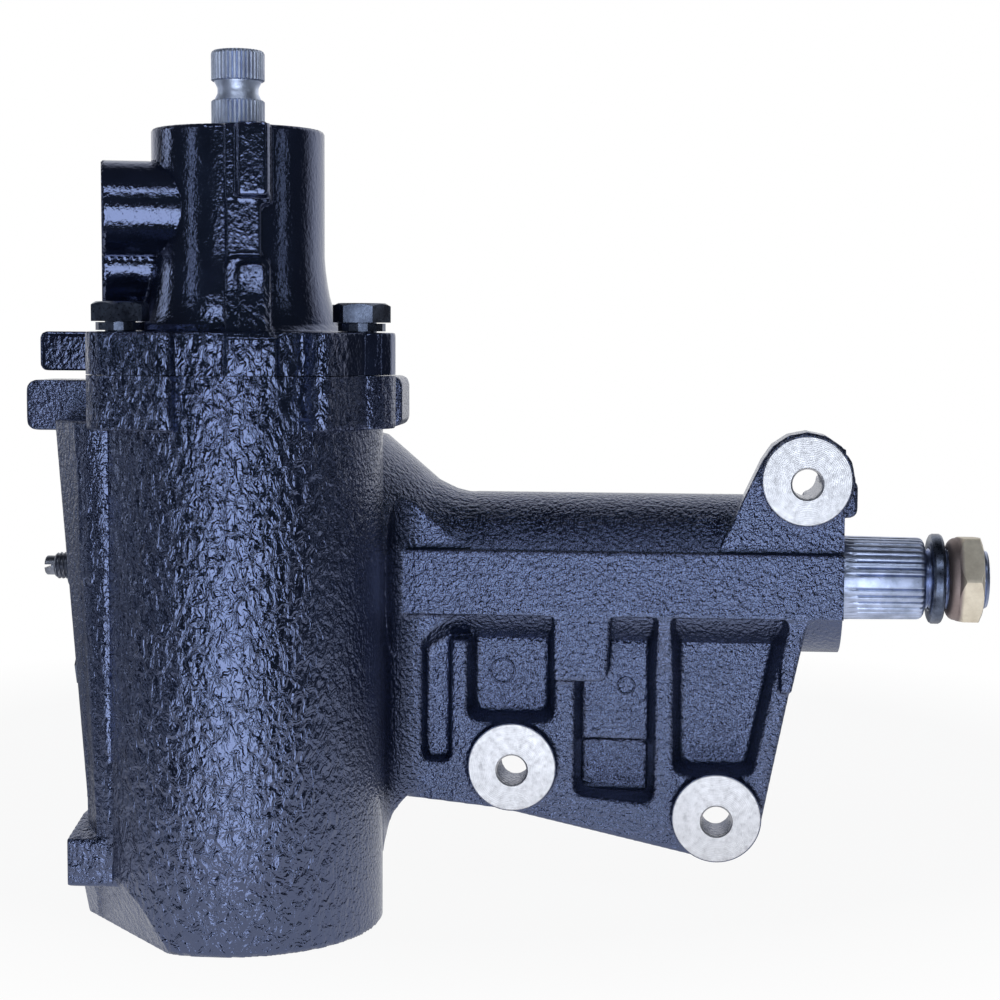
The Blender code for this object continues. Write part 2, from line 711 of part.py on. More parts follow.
def side_blocks():
    """The block at the flange's left and the small one at its right."""
    left = box_corners(-0.0755, -0.0400, FLANGE_LOW - 0.0026, CASE_H - 0.0027, 0.0035)
    right = box_corners(0.0400, 0.0568, FLANGE_LOW, CASE_H - 0.0004, 0.0030)
    return (prism("left_block", "Y", rounded(left), 0.0020, 0.0230),
            prism("right_block", "Y", rounded(right), -0.0060, 0.0140))


def cover_lugs(low, high):
    """Four lugs around the side cover's joint, for either half of it."""
    lugs = []
    for u, v in cover_bolt_places():
        lugs.append(prism("cover_lug", "X", around([(u, v, COVER_LUG_R), (SECTOR_Y, SECTOR_Z, 0.0300)]),
                          low, high))
    return lugs


def cover_bolt_places():
    """Centres (y, z) of the side cover's bolts."""
    return [(SECTOR_Y + COVER_BOLT_CIRCLE * math.cos(a), SECTOR_Z + COVER_BOLT_CIRCLE * math.sin(a))
            for a in (math.pi * (0.25 + 0.5 * i) for i in range(4))]


def gear_housing():
    """The main casting: case, chamber, tube, web, pads and lugs."""
    profile = [(0.0, 0.0), (0.0, CASE_R - BASE_EDGE), (BASE_EDGE, CASE_R),
               (CASE_H + CUT_OVER, CASE_R), (CASE_H + CUT_OVER, 0.0)]
    body = lathe("gear_housing", "Z", profile, ROUND_LARGE)
    join(body, block("foot", (FOOT_X, -0.0200), (-0.0300, 0.0110), (0.0, FOOT_H + 0.0010)))
    relief_h = 0.0300
    relief = [(FOOT_FLAT - FOOT_SLOPE * CUT_OVER, -CUT_OVER), (FOOT_FLAT + 0.0400, -CUT_OVER),
              (FOOT_FLAT + 0.0400, relief_h), (FOOT_FLAT + FOOT_SLOPE * relief_h, relief_h)]
    cut(body, swing(prism("relief", "Y", relief, -0.0500, 0.0500), FOOT_TURN))
    web = cut(web_plate(), *web_pockets())
    join(body, chamber(), tube(), web, *band_and_tab(), *upper_ear(), *pads())
    lugs = [prism("post_lug", "Z", outline, FLANGE_LOW, CASE_H + CUT_OVER) for outline in post_lugs()]
    join(body, *lugs, passage_rib(), lower_lug(), *side_blocks(),
         *cover_lugs(COVER_X - 0.5 * CUT_OVER, COVER_X + 0.0120))
    top = block("top", (-0.2, 0.2), (-0.2, 0.2), (CASE_H, CASE_H + 0.02))
    cover_face = block("cover_face", (COVER_X - 0.02, COVER_X), (0.0105, 0.13), (0.045, FLANGE_LOW - 0.0016))
    worm_bore = rod("worm_bore", "Z", (0.0, 0.0), CASE_BORE_R, BASE_T, CASE_H + CUT_OVER, ROUND_LARGE)
    seal_x = TUBE_END - SEAL_BORE_LEN
    bore = [(COVER_X - CUT_OVER, 0.0), (COVER_X - CUT_OVER, CHAMBER_BORE_R),
            (CHAMBER_BORE_END, CHAMBER_BORE_R),
            (CHAMBER_BORE_END, TUBE_BORE_R), (seal_x, TUBE_BORE_R), (seal_x, SEAL_BORE_R),
            (seal_x + 0.0082, SEAL_BORE_R), (seal_x + 0.0082, SEAL_BORE_R + 0.0014),
            (seal_x + 0.0104, SEAL_BORE_R + 0.0014), (seal_x + 0.0104, SEAL_BORE_R),
            (TUBE_END + CUT_OVER, SEAL_BORE_R), (TUBE_END + CUT_OVER, 0.0)]
    sector_bore = lathe("sector_bore", "X", bore, ROUND_MID, SECTOR)
    cut(body, top, cover_face, worm_bore, sector_bore)
    holes = [frame_hole(hole) for hole in (HOLE_UPPER, HOLE_LOWER, HOLE_INNER)]
    for post in BOLT_POSTS:
        holes.append(rod("post_hole", "Z", post, BOLT_HOLE_R, FLANGE_LOW + 0.0025, CASE_H + CUT_OVER,
                         ROUND_TINY))
    for place in cover_bolt_places():
        holes.append(rod("cover_hole", "X", place, COVER_BOLT_R + RUN_GAP, COVER_X - CUT_OVER,
                         COVER_X + 0.0110,
                         ROUND_TINY))
    cross = (PASSAGE[1], PASSAGE_Z)
    holes.append(rod("passage", "Z", PASSAGE, PASSAGE_R, PASSAGE_Z - 0.0012, CASE_H + CUT_OVER, ROUND_TINY))
    holes.append(rod("cross", "X", cross, PASSAGE_R - 0.0004, LUG_X + PLUG_LEN, 0.9 * -CASE_BORE_R,
                     ROUND_TINY))
    holes.append(rod("plug_hole", "X", cross, PLUG_R + SEAT_GAP, LUG_X - 0.0100, LUG_X + PLUG_LEN + SEAT_GAP))
    return cut(body, *holes)


def passage_plug():
    """The socket plug that closes the cross drilling, flush with the lug."""
    centre = (PASSAGE[1], PASSAGE_Z)
    plug = rod("passage_plug", "X", centre, PLUG_R, LUG_X, LUG_X + PLUG_LEN)
    return cut(plug, hex_bar("socket", "X", centre, 0.0060, LUG_X - CUT_OVER, LUG_X + 0.0030))


# Valve housing and the joint hardware

def valve_housing():
    """The upper casting: flared cylinder, flange, port bosses and the front rib."""
    profile = [(SPIGOT_LOW, 0.0), (SPIGOT_LOW, CASE_BORE_R - SEAT_GAP), (VALVE_LOW, CASE_BORE_R - SEAT_GAP),
               (VALVE_LOW, VALVE_FLANGE_R), (VALVE_FLANGE_TOP, VALVE_FLANGE_R),
               (VALVE_FLANGE_TOP, VALVE_R + 0.0078),
               (VALVE_FLANGE_TOP + 0.0024, VALVE_R + 0.0052), (VALVE_FLANGE_TOP + 0.0078, VALVE_R + 0.0029),
               (VALVE_FLANGE_TOP + 0.0165, VALVE_R + 0.0009), (VALVE_FLANGE_TOP + 0.0250, VALVE_R),
               (VALVE_TOP - 0.0008, VALVE_R), (VALVE_TOP, VALVE_R - 0.0008), (VALVE_TOP, 0.0)]
    body = lathe("valve_housing", "Z", profile, ROUND_LARGE)
    lugs = [prism("post_lug", "Z", outline, VALVE_LOW, VALVE_FLANGE_TOP - 0.0001) for outline in post_lugs()]
    join(body, *lugs, *port_bosses(), *front_rib())
    block_outline = rounded(box_corners(-0.0722, -0.0400, VALVE_LOW + 0.0001, VALVE_FLANGE_TOP - 0.0003,
                                        0.0022))
    join(body, prism("left_block", "Y", block_outline, 0.0080, 0.0240))
    ring_z = 0.5 * (SPIGOT_LOW + VALVE_LOW)
    bore = [(SPIGOT_LOW - CUT_OVER, 0.0), (SPIGOT_LOW - CUT_OVER, BEARING_R + SEAT_GAP),
            (VALVE_LOW + 0.0005, BEARING_R + SEAT_GAP), (VALVE_LOW + 0.0005, VALVE_BORE_R),
            (VALVE_BORE_TOP, VALVE_BORE_R), (VALVE_BORE_TOP, NOSE_BORE_R), (0.2655, NOSE_BORE_R),
            (0.2655, NOSE_BORE_R + 0.0014), (0.2672, NOSE_BORE_R + 0.0014), (0.2672, NOSE_BORE_R),
            (VALVE_TOP + CUT_OVER, NOSE_BORE_R), (VALVE_TOP + CUT_OVER, 0.0)]
    groove = ring("groove", "Z", (0.0, 0.0), CASE_BORE_R - 0.0033, CASE_BORE_R + CUT_OVER,
                  ring_z - 0.0014, ring_z + 0.0014)
    cut(body, lathe("valve_bore", "Z", bore, ROUND_MID), groove)
    holes = [rod("post_hole", "Z", post, BOLT_HOLE_R, VALVE_LOW - CUT_OVER, VALVE_FLANGE_TOP + CUT_OVER,
                 ROUND_TINY)
             for post in BOLT_POSTS]
    holes.append(rod("passage", "Z", PASSAGE, PASSAGE_R, VALVE_LOW - CUT_OVER, VALVE_LOW + 0.0090,
                     ROUND_TINY))
    holes.append(rod("cross", "X", (PASSAGE[1], VALVE_LOW + 0.0070), PASSAGE_R - 0.0004, PASSAGE[0], -0.0150,
                     ROUND_TINY))
    for place, socket_r in ((PRESSURE_PORT, PRESSURE_SOCKET_R), (RETURN_PORT, RETURN_SOCKET_R)):
        socket = rod("socket", "X", place, socket_r, PORT_FACE_X - CUT_OVER, PORT_FACE_X + SOCKET_DEPTH)
        drill = rod("drill", "X", place, PORT_DRILL_R, PORT_FACE_X, -0.0080, ROUND_TINY)
        holes += [swing(socket, PORT_TURN), swing(drill, PORT_TURN)]
    return cut(body, *holes)


def port_bosses():
    """The two round bosses at the left that take the hose unions."""
    edge = 0.0006
    bosses = []
    for place, boss_r in ((PRESSURE_PORT, PRESSURE_BOSS_R), (RETURN_PORT, RETURN_BOSS_R)):
        profile = [(PORT_FACE_X, 0.0), (PORT_FACE_X, boss_r - edge), (PORT_FACE_X + edge, boss_r),
                   (-0.0060, boss_r), (-0.0060, 0.0)]
        bosses.append(swing(lathe("boss", "X", profile, ROUND_MID, place), PORT_TURN))
    return bosses


def front_rib():
    """The cast rib down the front: a raised pad, a low ridge and an arched foot on the flange."""
    front = -0.0325
    back = -0.0200
    base = prism("rib_base", "Y", rounded(box_corners(-0.0046, 0.0105, 0.2445, VALVE_TOP + 0.0003, 0.0015)),
                 front + 0.0020, back)
    wide = rounded(box_corners(-0.0006, 0.0097, 0.2470, VALVE_TOP + 0.0006, 0.0010))
    narrow = rounded(box_corners(0.0002, 0.0089, 0.2478, VALVE_TOP - 0.0002, 0.0010))
    pad = loft("rib_pad", "Y", [(front - 0.0004, narrow), (front + 0.0006, wide), (back, wide)])
    ridge = prism("rib_ridge", "Y", rounded(box_corners(-0.0042, 0.0072, 0.2200, 0.2460, 0.0010)),
                  front + 0.0014, back)
    side = [(front - 0.0004, 0.2300), (back, 0.2300), (back, VALVE_LOW), (-0.0500, VALVE_LOW),
            (-0.0500, VALVE_FLANGE_TOP - 0.0050), (-0.0460, VALVE_FLANGE_TOP + 0.0010),
            (-0.0375, VALVE_FLANGE_TOP + 0.0130)]
    outer = prism("rib_border", "X", [(u + (0.0014 if u < -0.03 else 0.0), v) for u, v in side], -0.0047,
                  0.0104)
    inner = prism("rib_foot", "X", side, -0.0002, 0.0086)
    outer_arch = rounded(box_corners(-0.0045, 0.0102, VALVE_LOW - 0.0010, 0.2276, 0.0032))
    inner_arch = rounded(box_corners(0.0, 0.0084, VALVE_LOW - 0.0010, 0.2256, 0.0018))
    combine(outer, "INTERSECT", prism("arch", "Y", outer_arch, -0.06, -0.01))
    combine(inner, "INTERSECT", prism("arch", "Y", inner_arch, -0.06, -0.01))
    toe = block("rib_toe", (-0.0043, 0.0121), (-0.0497, -0.0300), (VALVE_LOW, VALVE_FLANGE_TOP - 0.0014))
    return [swing(solid, RIB_TURN) for solid in (base, pad, ridge, outer, inner, toe)]


def valve_bolt(index, post):
    """A hexagon bolt of the housing joint."""
    seat = VALVE_FLANGE_TOP + SEAT_GAP + WASHER_T + SEAT_GAP
    spin = 0.0 if index % 2 else math.pi / 6.0
    bolt = chamfered_hex("valve_housing_bolt_%d" % (index + 1), "Z", post, BOLT_HEAD_AF, seat,
                         seat + BOLT_HEAD_H, spin)
    low = seat - BOLT_DEPTH
    shank = [(low, 0.0), (low, BOLT_R - 0.0010), (low + 0.0010, BOLT_R), (seat + 0.001, BOLT_R),
             (seat + 0.001, 0.0)]
    return join(bolt, lathe("shank", "Z", shank, ROUND_TINY, post))


def split_washer(name, axis, centre, inner, outer, low, thickness, gap_angle):
    """A spring washer, cut through once on the slant."""
    washer = ring(name, axis, centre, inner, outer, low, low + thickness, ROUND_SMALL)
    width = 0.0009
    reach = 2.0 * outer
    slant = 0.6 * thickness
    slot = [(0.0, -width - slant), (reach, -width - slant), (reach, width - slant), (0.0, width - slant)]
    tilted = [(u, v + 2.0 * slant) for u, v in slot]
    cutter = loft("slot", "Z", [(-0.001, slot), (thickness + 0.001, tilted)])
    turned = Matrix.Rotation(gap_angle, 4, "Z")
    if axis == "X":
        turned = Matrix(((0, 0, 1, 0), (1, 0, 0, 0), (0, 1, 0, 0), (0, 0, 0, 1))) @ turned
    start = AXIS_FRAME[axis](centre[0], centre[1], low)
    cutter.data.transform(Matrix.Translation(start) @ turned)
    return cut(washer, cutter)


def valve_washer(index, post):
    """The spring washer under a joint bolt."""
    return split_washer("valve_housing_washer_%d" % (index + 1), "Z", post, BOLT_HOLE_R + 0.0001, WASHER_R,
                        VALVE_FLANGE_TOP + SEAT_GAP, WASHER_T, 2.2 + index)


def port_seat(name, place, socket_r):
    """The flared seat pressed into the bottom of a port."""
    foot = PORT_FACE_X + SOCKET_DEPTH - SEAT_GAP
    profile = [(foot, PORT_DRILL_R - 0.0010), (foot, socket_r - SEAT_GAP),
               (foot - 0.0035, socket_r - SEAT_GAP),
               (foot - 0.0060, PORT_DRILL_R + 0.0004), (foot - 0.0064, PORT_DRILL_R - 0.0010)]
    return swing(lathe(name, "X", profile, ROUND_TINY, place), PORT_TURN)


# Side cover

def side_cover():
    """The cover with its bearing hub inside and the adjuster boss outside."""
    face = COVER_X - SEAT_GAP
    outer = face - COVER_T
    profile = [(COVER_BOSS_X, 0.0), (COVER_BOSS_X, COVER_BOSS_R - 0.0008),
               (COVER_BOSS_X + 0.0008, COVER_BOSS_R),
               (outer - 0.0030, COVER_BOSS_R + 0.0012), (outer, COVER_BOSS_R + 0.0060),
               (outer, COVER_R - 0.0015),
               (outer + 0.0015, COVER_R), (face, COVER_R), (face, CHAMBER_BORE_R - RUN_GAP),
               (face + 0.0050, CHAMBER_BORE_R - RUN_GAP), (face + 0.0050, COVER_HUB_R),
               (COVER_HUB_END, COVER_HUB_R),
               (COVER_HUB_END, 0.0)]
    cover = lathe("side_cover", "X", profile, ROUND_MID, SECTOR)
    join(cover, *cover_lugs(outer + 0.0002, face - 0.0001))
    hub_bore = rod("hub_bore", "X", SECTOR, SHAFT_R + 0.0035 + SEAT_GAP, face + 0.0010,
                   COVER_HUB_END + CUT_OVER, ROUND_MID)
    thread = rod("thread", "X", SECTOR, ADJUSTER_R + RUN_GAP, COVER_BOSS_X - CUT_OVER, COVER_HUB_END)
    groove = ring("groove", "X", SECTOR, COVER_GROOVE_R, CHAMBER_BORE_R + CUT_OVER, face + 0.0013,
                  face + 0.0037)
    holes = [rod("cover_hole", "X", place, COVER_BOLT_R + RUN_GAP, outer - CUT_OVER, face + CUT_OVER,
                 ROUND_TINY)
             for place in cover_bolt_places()]
    return cut(cover, hub_bore, thread, groove, *holes)


def cover_bolt(index, place):
    """A hexagon bolt of the side cover."""
    seat = COVER_X - 2.0 * SEAT_GAP - COVER_T
    spin = math.pi / 7.0 * index
    name = "side_cover_bolt_%d" % (index + 1)
    bolt = hex_bar(name, "X", place, COVER_HEAD_AF, seat - COVER_HEAD_H, seat, spin)
    shank = rod("shank", "X", place, COVER_BOLT_R, seat - 0.0010, COVER_X + 0.0100, ROUND_TINY)
    return join(bolt, shank)


def adjuster_screw():
    """The backlash adjuster: slotted tip outside, round head in the sector's T slot."""
    head_x = SHAFT_LEFT + 0.0065
    profile = [(ADJUSTER_TIP_X, 0.0), (ADJUSTER_TIP_X, ADJUSTER_R - 0.0006),
               (ADJUSTER_TIP_X + 0.0010, ADJUSTER_R),
               (head_x, ADJUSTER_R), (head_x, ADJUSTER_HEAD_R), (head_x + ADJUSTER_HEAD_T, ADJUSTER_HEAD_R),
               (head_x + ADJUSTER_HEAD_T, 0.0)]
    screw = lathe("adjuster_screw", "X", profile, ROUND_SMALL, (SECTOR_Y, SECTOR_Z))
    slot = block("slot", (ADJUSTER_TIP_X - CUT_OVER, ADJUSTER_TIP_X + 0.0032),
                 (SECTOR_Y - 0.010, SECTOR_Y + 0.010), (SECTOR_Z - 0.0009, SECTOR_Z + 0.0009))
    return cut(screw, slot)


def adjuster_lock_nut():
    """The nut that locks the adjuster against the cover's boss."""
    high = COVER_BOSS_X - SEAT_GAP
    nut = chamfered_hex("adjuster_lock_nut", "X", (SECTOR_Y, SECTOR_Z), LOCK_NUT_AF, high - LOCK_NUT_H,
                        high, 0.2, True)
    return cut(nut, rod("thread", "X", (SECTOR_Y, SECTOR_Z), ADJUSTER_R + RUN_GAP, high - 0.02, high + 0.02))


# Sector shaft

def sector_tooth_outline():
    """The gear part's outline about its own centre, tooth centres pointing to -Y.

    Involute flanks rise from the base circle, and the root lies between neighbouring teeth.
    """
    base_r = SECTOR_PITCH_R * math.cos(PRESSURE_ANGLE)
    tip_r = SECTOR_PITCH_R + TOOTH_ADDENDUM
    root_r = SECTOR_PITCH_R - TOOTH_DEDENDUM
    half_pitch = 0.5 * math.pi / SECTOR_TEETH - 0.5 * TOOTH_BACKLASH / SECTOR_PITCH_R
    pitch_roll = math.tan(PRESSURE_ANGLE) - PRESSURE_ANGLE
    flank = []
    steps = 6
    for k in range(steps + 1):
        radius = base_r + (tip_r - base_r) * k / steps
        angle = math.acos(min(1.0, base_r / radius))
        flank.append((radius, half_pitch + pitch_roll - (math.tan(angle) - angle)))
    flank = [(root_r, flank[0][1] + 0.02)] + flank
    outline = []
    for tooth in (-1, 0, 1):
        middle = math.pi + tooth * 2.0 * math.pi / SECTOR_TEETH
        outline += [(r * math.cos(middle - a), r * math.sin(middle - a)) for r, a in flank]
        outline += [(r * math.cos(middle + a), r * math.sin(middle + a)) for r, a in reversed(flank)]
    start = math.pi + 1.5 * 2.0 * math.pi / SECTOR_TEETH
    span = 2.0 * math.pi * (1.0 - 3.0 / SECTOR_TEETH)
    outline += [(root_r * math.cos(start + span * k / 12), root_r * math.sin(start + span * k / 12))
                for k in range(13)]
    return outline


def sector_shaft():
    """The sector gear, its journals, the pitman splines and the threaded end."""
    outline = [(SECTOR_Y + u, SECTOR_Z + v) for u, v in sector_tooth_outline()]
    shaft = prism("sector_shaft", "X", outline, -SECTOR_HALF_W, SECTOR_HALF_W)
    shoulder = SECTOR_HALF_W + 0.0025
    left = [(SHAFT_LEFT, 0.0), (SHAFT_LEFT, SHAFT_R - 0.0010), (SHAFT_LEFT + 0.0010, SHAFT_R),
            (-shoulder, SHAFT_R),
            (-shoulder, SHOULDER_R), (0.0, SHOULDER_R), (0.0, 0.0)]
    neck_r = SPLINE_R - SPLINE_DEPTH
    right = [(-0.0010, 0.0), (-0.0010, SHOULDER_R), (shoulder, SHOULDER_R), (shoulder, SHAFT_R),
             (TUBE_END - 0.0060, SHAFT_R), (TUBE_END - 0.0050, SPLINE_R + 0.0002),
             (SPLINE_START - 0.0006, SPLINE_R),
             (SPLINE_START, neck_r - 0.0009), (SPLINE_END - 0.0004, neck_r - 0.0009),
             (SPLINE_END + 0.0004, SHAFT_THREAD_R), (SHAFT_END - 0.0012, SHAFT_THREAD_R),
             (SHAFT_END, SHAFT_THREAD_R - 0.0012), (SHAFT_END, 0.0)]
    join(shaft, lathe("journal_left", "X", left, ROUND_SMALL, SECTOR),
         lathe("journal_right", "X", right, ROUND_SMALL, SECTOR))
    sections = []
    for x, drop, chamfer in ((SPLINE_START - 0.0003, 0.0, 0.0), (SPLINE_END - 0.0030, SPLINE_TAPER, 0.0),
                             (SPLINE_END - 0.0002, SPLINE_TAPER, 0.0008)):
        teeth = toothed_ring(SPLINE_TEETH, neck_r - drop, SPLINE_R - drop - chamfer, MASTER_TEETH)
        sections.append((x, [(SECTOR_Y + u, SECTOR_Z + v) for u, v in teeth]))
    join(shaft, loft("splines", "X", sections))
    slot_half = ADJUSTER_R + 0.0006
    head_half = ADJUSTER_HEAD_R + 0.0004
    head_x = SHAFT_LEFT + 0.0065
    narrow = block("narrow", (SHAFT_LEFT - CUT_OVER, head_x), (SECTOR_Y - slot_half, SECTOR_Y + slot_half),
                   (SECTOR_Z - 0.03, SECTOR_Z + 0.03))
    wide = block("wide", (head_x - RUN_GAP, head_x + ADJUSTER_HEAD_T + 0.0022),
                 (SECTOR_Y - head_half, SECTOR_Y + head_half), (SECTOR_Z - 0.03, SECTOR_Z + 0.03))
    return cut(shaft, narrow, wide)


def adjuster_shim():
    """The shim between the adjuster's head and the T slot's floor."""
    low = SHAFT_LEFT + 0.0065 + ADJUSTER_HEAD_T + SEAT_GAP
    return rod("adjuster_shim", "X", (SECTOR_Y, SECTOR_Z), ADJUSTER_HEAD_R, low, low + 0.0014)


def pitman_nut():
    """The large nut that clamps the pitman arm, with a round collar under its hexagon."""
    low = PITMAN_NUT_X
    high = low + PITMAN_NUT_H
    face_r = 0.47 * PITMAN_NUT_AF
    over = 0.60 * PITMAN_NUT_AF
    nut = hex_bar("pitman_nut", "X", SECTOR, PITMAN_NUT_AF, low, high, math.radians(3.3))
    profile = [(low, 0.0), (low, face_r - 0.0016), (low + 0.0010, face_r - 0.0004),
               (low + PITMAN_COLLAR_T, face_r + 0.0006), (low + PITMAN_COLLAR_T + 0.0030, over),
               (high - 0.0022, over), (high, face_r), (high, 0.0)]
    combine(nut, "INTERSECT", lathe("turning", "X", profile, ROUND_MID, SECTOR))
    bore_r = SHAFT_THREAD_R + RUN_GAP
    bore = [(low - CUT_OVER, 0.0), (low - CUT_OVER, bore_r + 0.0030), (low + 0.0010, bore_r),
            (high - 0.0010, bore_r), (high + CUT_OVER, bore_r + 0.0030), (high + CUT_OVER, 0.0)]
    return cut(nut, lathe("bore", "X", bore, ROUND_SMALL, SECTOR))


# Worm and piston

def worm_shaft():
    """The ball worm, the bearing seat and the valve sleeve above it."""
    profile = [(WORM_LOW, 0.0), (WORM_LOW, WORM_R - 0.0015), (WORM_LOW + 0.0015, WORM_R), (WORM_TOP, WORM_R),
               (WORM_TOP, 0.0180), (SPIGOT_LOW + 0.0001, 0.0180), (SPIGOT_LOW + 0.0001, BEARING_SEAT_R),
               (SLEEVE_LOW, BEARING_SEAT_R), (SLEEVE_LOW, SLEEVE_R)]
    for middle in SLEEVE_GROOVES:
        profile += [(middle - 0.0032, SLEEVE_R), (middle - 0.0024, SLEEVE_R - 0.0016),
                    (middle + 0.0024, SLEEVE_R - 0.0016), (middle + 0.0032, SLEEVE_R)]
    profile += [(SLEEVE_TOP, SLEEVE_R), (SLEEVE_TOP, SLEEVE_BORE_R), (INPUT_LOW - 0.0020, SLEEVE_BORE_R),
                (INPUT_LOW - 0.0020, BAR_R + 0.0004), (BAR_LOW - 0.0004, BAR_R + 0.0004),
                (BAR_LOW - 0.0004, 0.0)]
    worm = lathe("worm_shaft", "Z", profile, ROUND_SMALL)
    track = ball_track(TRACK_LOW, WORM_TOP - 0.0045)
    pin = rod("pin_hole", "X", (0.0, BAR_LOW + 0.0060), PIN_R + SEAT_GAP, -0.02, 0.02, ROUND_TINY)
    return cut(worm, track, pin)


def rack_piston():
    """The piston: ball nut inside, rack on the side that faces the sector shaft."""
    outer = CASE_BORE_R - RUN_GAP
    groove_z = PISTON_LOW + 0.0100
    profile = [(PISTON_LOW, 0.0), (PISTON_LOW, outer - 0.0010), (PISTON_LOW + 0.0010, outer),
               (groove_z - 0.0016, outer), (groove_z - 0.0016, outer - 0.0031),
               (groove_z + 0.0016, outer - 0.0031),
               (groove_z + 0.0016, outer), (PISTON_TOP - 0.0010, outer), (PISTON_TOP, outer - 0.0010),
               (PISTON_TOP, 0.0)]
    piston = lathe("rack_piston", "Z", profile, ROUND_LARGE)
    tip_y = RACK_LINE_Y + TOOTH_ADDENDUM
    flat = block("flat", (-0.05, 0.05), (tip_y, 0.06), (PISTON_FLAT_LOW, PISTON_TOP + CUT_OVER))
    spaces = []
    for k in (-1, 0, 1):
        middle = SECTOR_Z + k * TOOTH_PITCH
        half = 0.25 * TOOTH_PITCH + 0.5 * TOOTH_BACKLASH
        over = TOOTH_ADDENDUM + CUT_OVER
        low_half = half - TOOTH_DEDENDUM * math.tan(PRESSURE_ANGLE)
        high_half = half + over * math.tan(PRESSURE_ANGLE)
        low_y = RACK_LINE_Y - TOOTH_DEDENDUM
        high_y = RACK_LINE_Y + over
        outline = [(low_y, middle - low_half), (high_y, middle - high_half),
                   (high_y, middle + high_half), (low_y, middle + low_half)]
        spaces.append(prism("space", "X", outline, -0.05, 0.05))
    hollow_low = PISTON_LOW + PLUG_T + 0.0008
    hollow = [(PISTON_LOW - CUT_OVER, 0.0), (PISTON_LOW - CUT_OVER, PISTON_HOLLOW_R + 0.0020),
              (hollow_low, PISTON_HOLLOW_R + 0.0020), (hollow_low, PISTON_HOLLOW_R),
              (0.1000, PISTON_HOLLOW_R),
              (0.1015, WORM_R + 0.0006), (PISTON_TOP + CUT_OVER, WORM_R + 0.0006),
              (PISTON_TOP + CUT_OVER, 0.0)]
    low, high = ball_heights()
    track = ball_track(low - 0.0004, high + 0.0004)
    cut(piston, flat, *spaces, lathe("hollow", "Z", hollow, ROUND_MID), track)
    corners = [(BALL_CIRCLE_R, low, 0.0060), (-BALL_CIRCLE_R, high, 0.0060)]
    corners += [(u, v, 0.0045) for u, v in clamp_screw_places()]
    recess = prism("recess", "Y", around(corners, 12), -0.05, GUIDE_RECESS_Y)
    legs = [rod("leg", "Y", (x, z), GUIDE_R + 2.0 * SEAT_GAP, -0.03, -0.0040, ROUND_SMALL)
            for x, z in ((BALL_CIRCLE_R, low), (-BALL_CIRCLE_R, high))]
    screws = [rod("screw_hole", "Y", place, 0.0018, -0.0300, -0.0200, ROUND_TINY)
              for place in clamp_screw_places()]
    return cut(piston, recess, *legs, *screws)


def ball_heights():
    """Lowest and highest ball centre of the loaded track."""
    return SECTOR_Z, SECTOR_Z + TRACK_TURNS * LEAD


def piston_end_plug():
    """The plug that closes the piston's lower end."""
    plug = rod("piston_end_plug", "Z", (0.0, 0.0), PISTON_HOLLOW_R + 0.0020 - SEAT_GAP, PISTON_LOW,
               PISTON_LOW + PLUG_T, ROUND_MID)
    return cut(plug, hex_bar("socket", "Z", (0.0, 0.0), 0.0100, PISTON_LOW - CUT_OVER, PISTON_LOW + 0.0035))


def ball_train():
    """The balls of the loaded track, each joined to the next where they touch."""
    low, high = ball_heights()
    first, last = helix_angle(low), helix_angle(high)
    pitch = (last - first) / BALL_COUNT
    stations = [(first, BALL_CIRCLE_R, BALL_NECK_R)]
    for k in range(BALL_COUNT):
        middle = first + (k + 0.5) * pitch
        for share in (-0.2, 0.2):
            swell = BALL_R * math.sqrt(1.0 - (2.0 * share) ** 2)
            stations.append((middle + share * pitch, BALL_CIRCLE_R, swell))
        stations.append((middle + 0.5 * pitch, BALL_CIRCLE_R, BALL_NECK_R))
    return helix_skin("ball_train", stations, 5)


def ball_return_guide():
    """The tube that leads the balls from one end of the track back to the other."""
    low, high = ball_heights()
    top_y = GUIDE_Y
    bend = 0.0045
    stops = [Vector((BALL_CIRCLE_R, -0.0165, low)), Vector((BALL_CIRCLE_R, top_y + bend, low)),
             Vector((BALL_CIRCLE_R - 0.12 * bend, top_y + 0.12 * bend, low + 0.12 * bend)),
             Vector((BALL_CIRCLE_R - bend, top_y, low + bend)),
             Vector((bend - BALL_CIRCLE_R, top_y, high - bend)),
             Vector((0.12 * bend - BALL_CIRCLE_R, top_y + 0.12 * bend, high - 0.12 * bend)),
             Vector((-BALL_CIRCLE_R, top_y + bend, high)), Vector((-BALL_CIRCLE_R, -0.0165, high))]
    side = Vector((1.0, 0.0, 0.6)).normalized()
    sections = []
    for k, stop in enumerate(stops):
        ahead = stops[min(k + 1, len(stops) - 1)] - stops[max(k - 1, 0)]
        along = ahead.normalized()
        out = (side - along * side.dot(along)).normalized()
        across = along.cross(out)
        sections.append([stop + out * (GUIDE_R * math.cos(b)) + across * (GUIDE_R * math.sin(b))
                         for b in (2.0 * math.pi * i / 8 for i in range(8))])
    return tube_through("ball_return_guide", sections)


def clamp_screw_places():
    """Centres (x, z) of the two screws that hold the guide's clamp."""
    low, high = ball_heights()
    middle = 0.5 * (low + high)
    return [(-0.0078, middle - 0.0066), (0.0078, middle + 0.0066)]


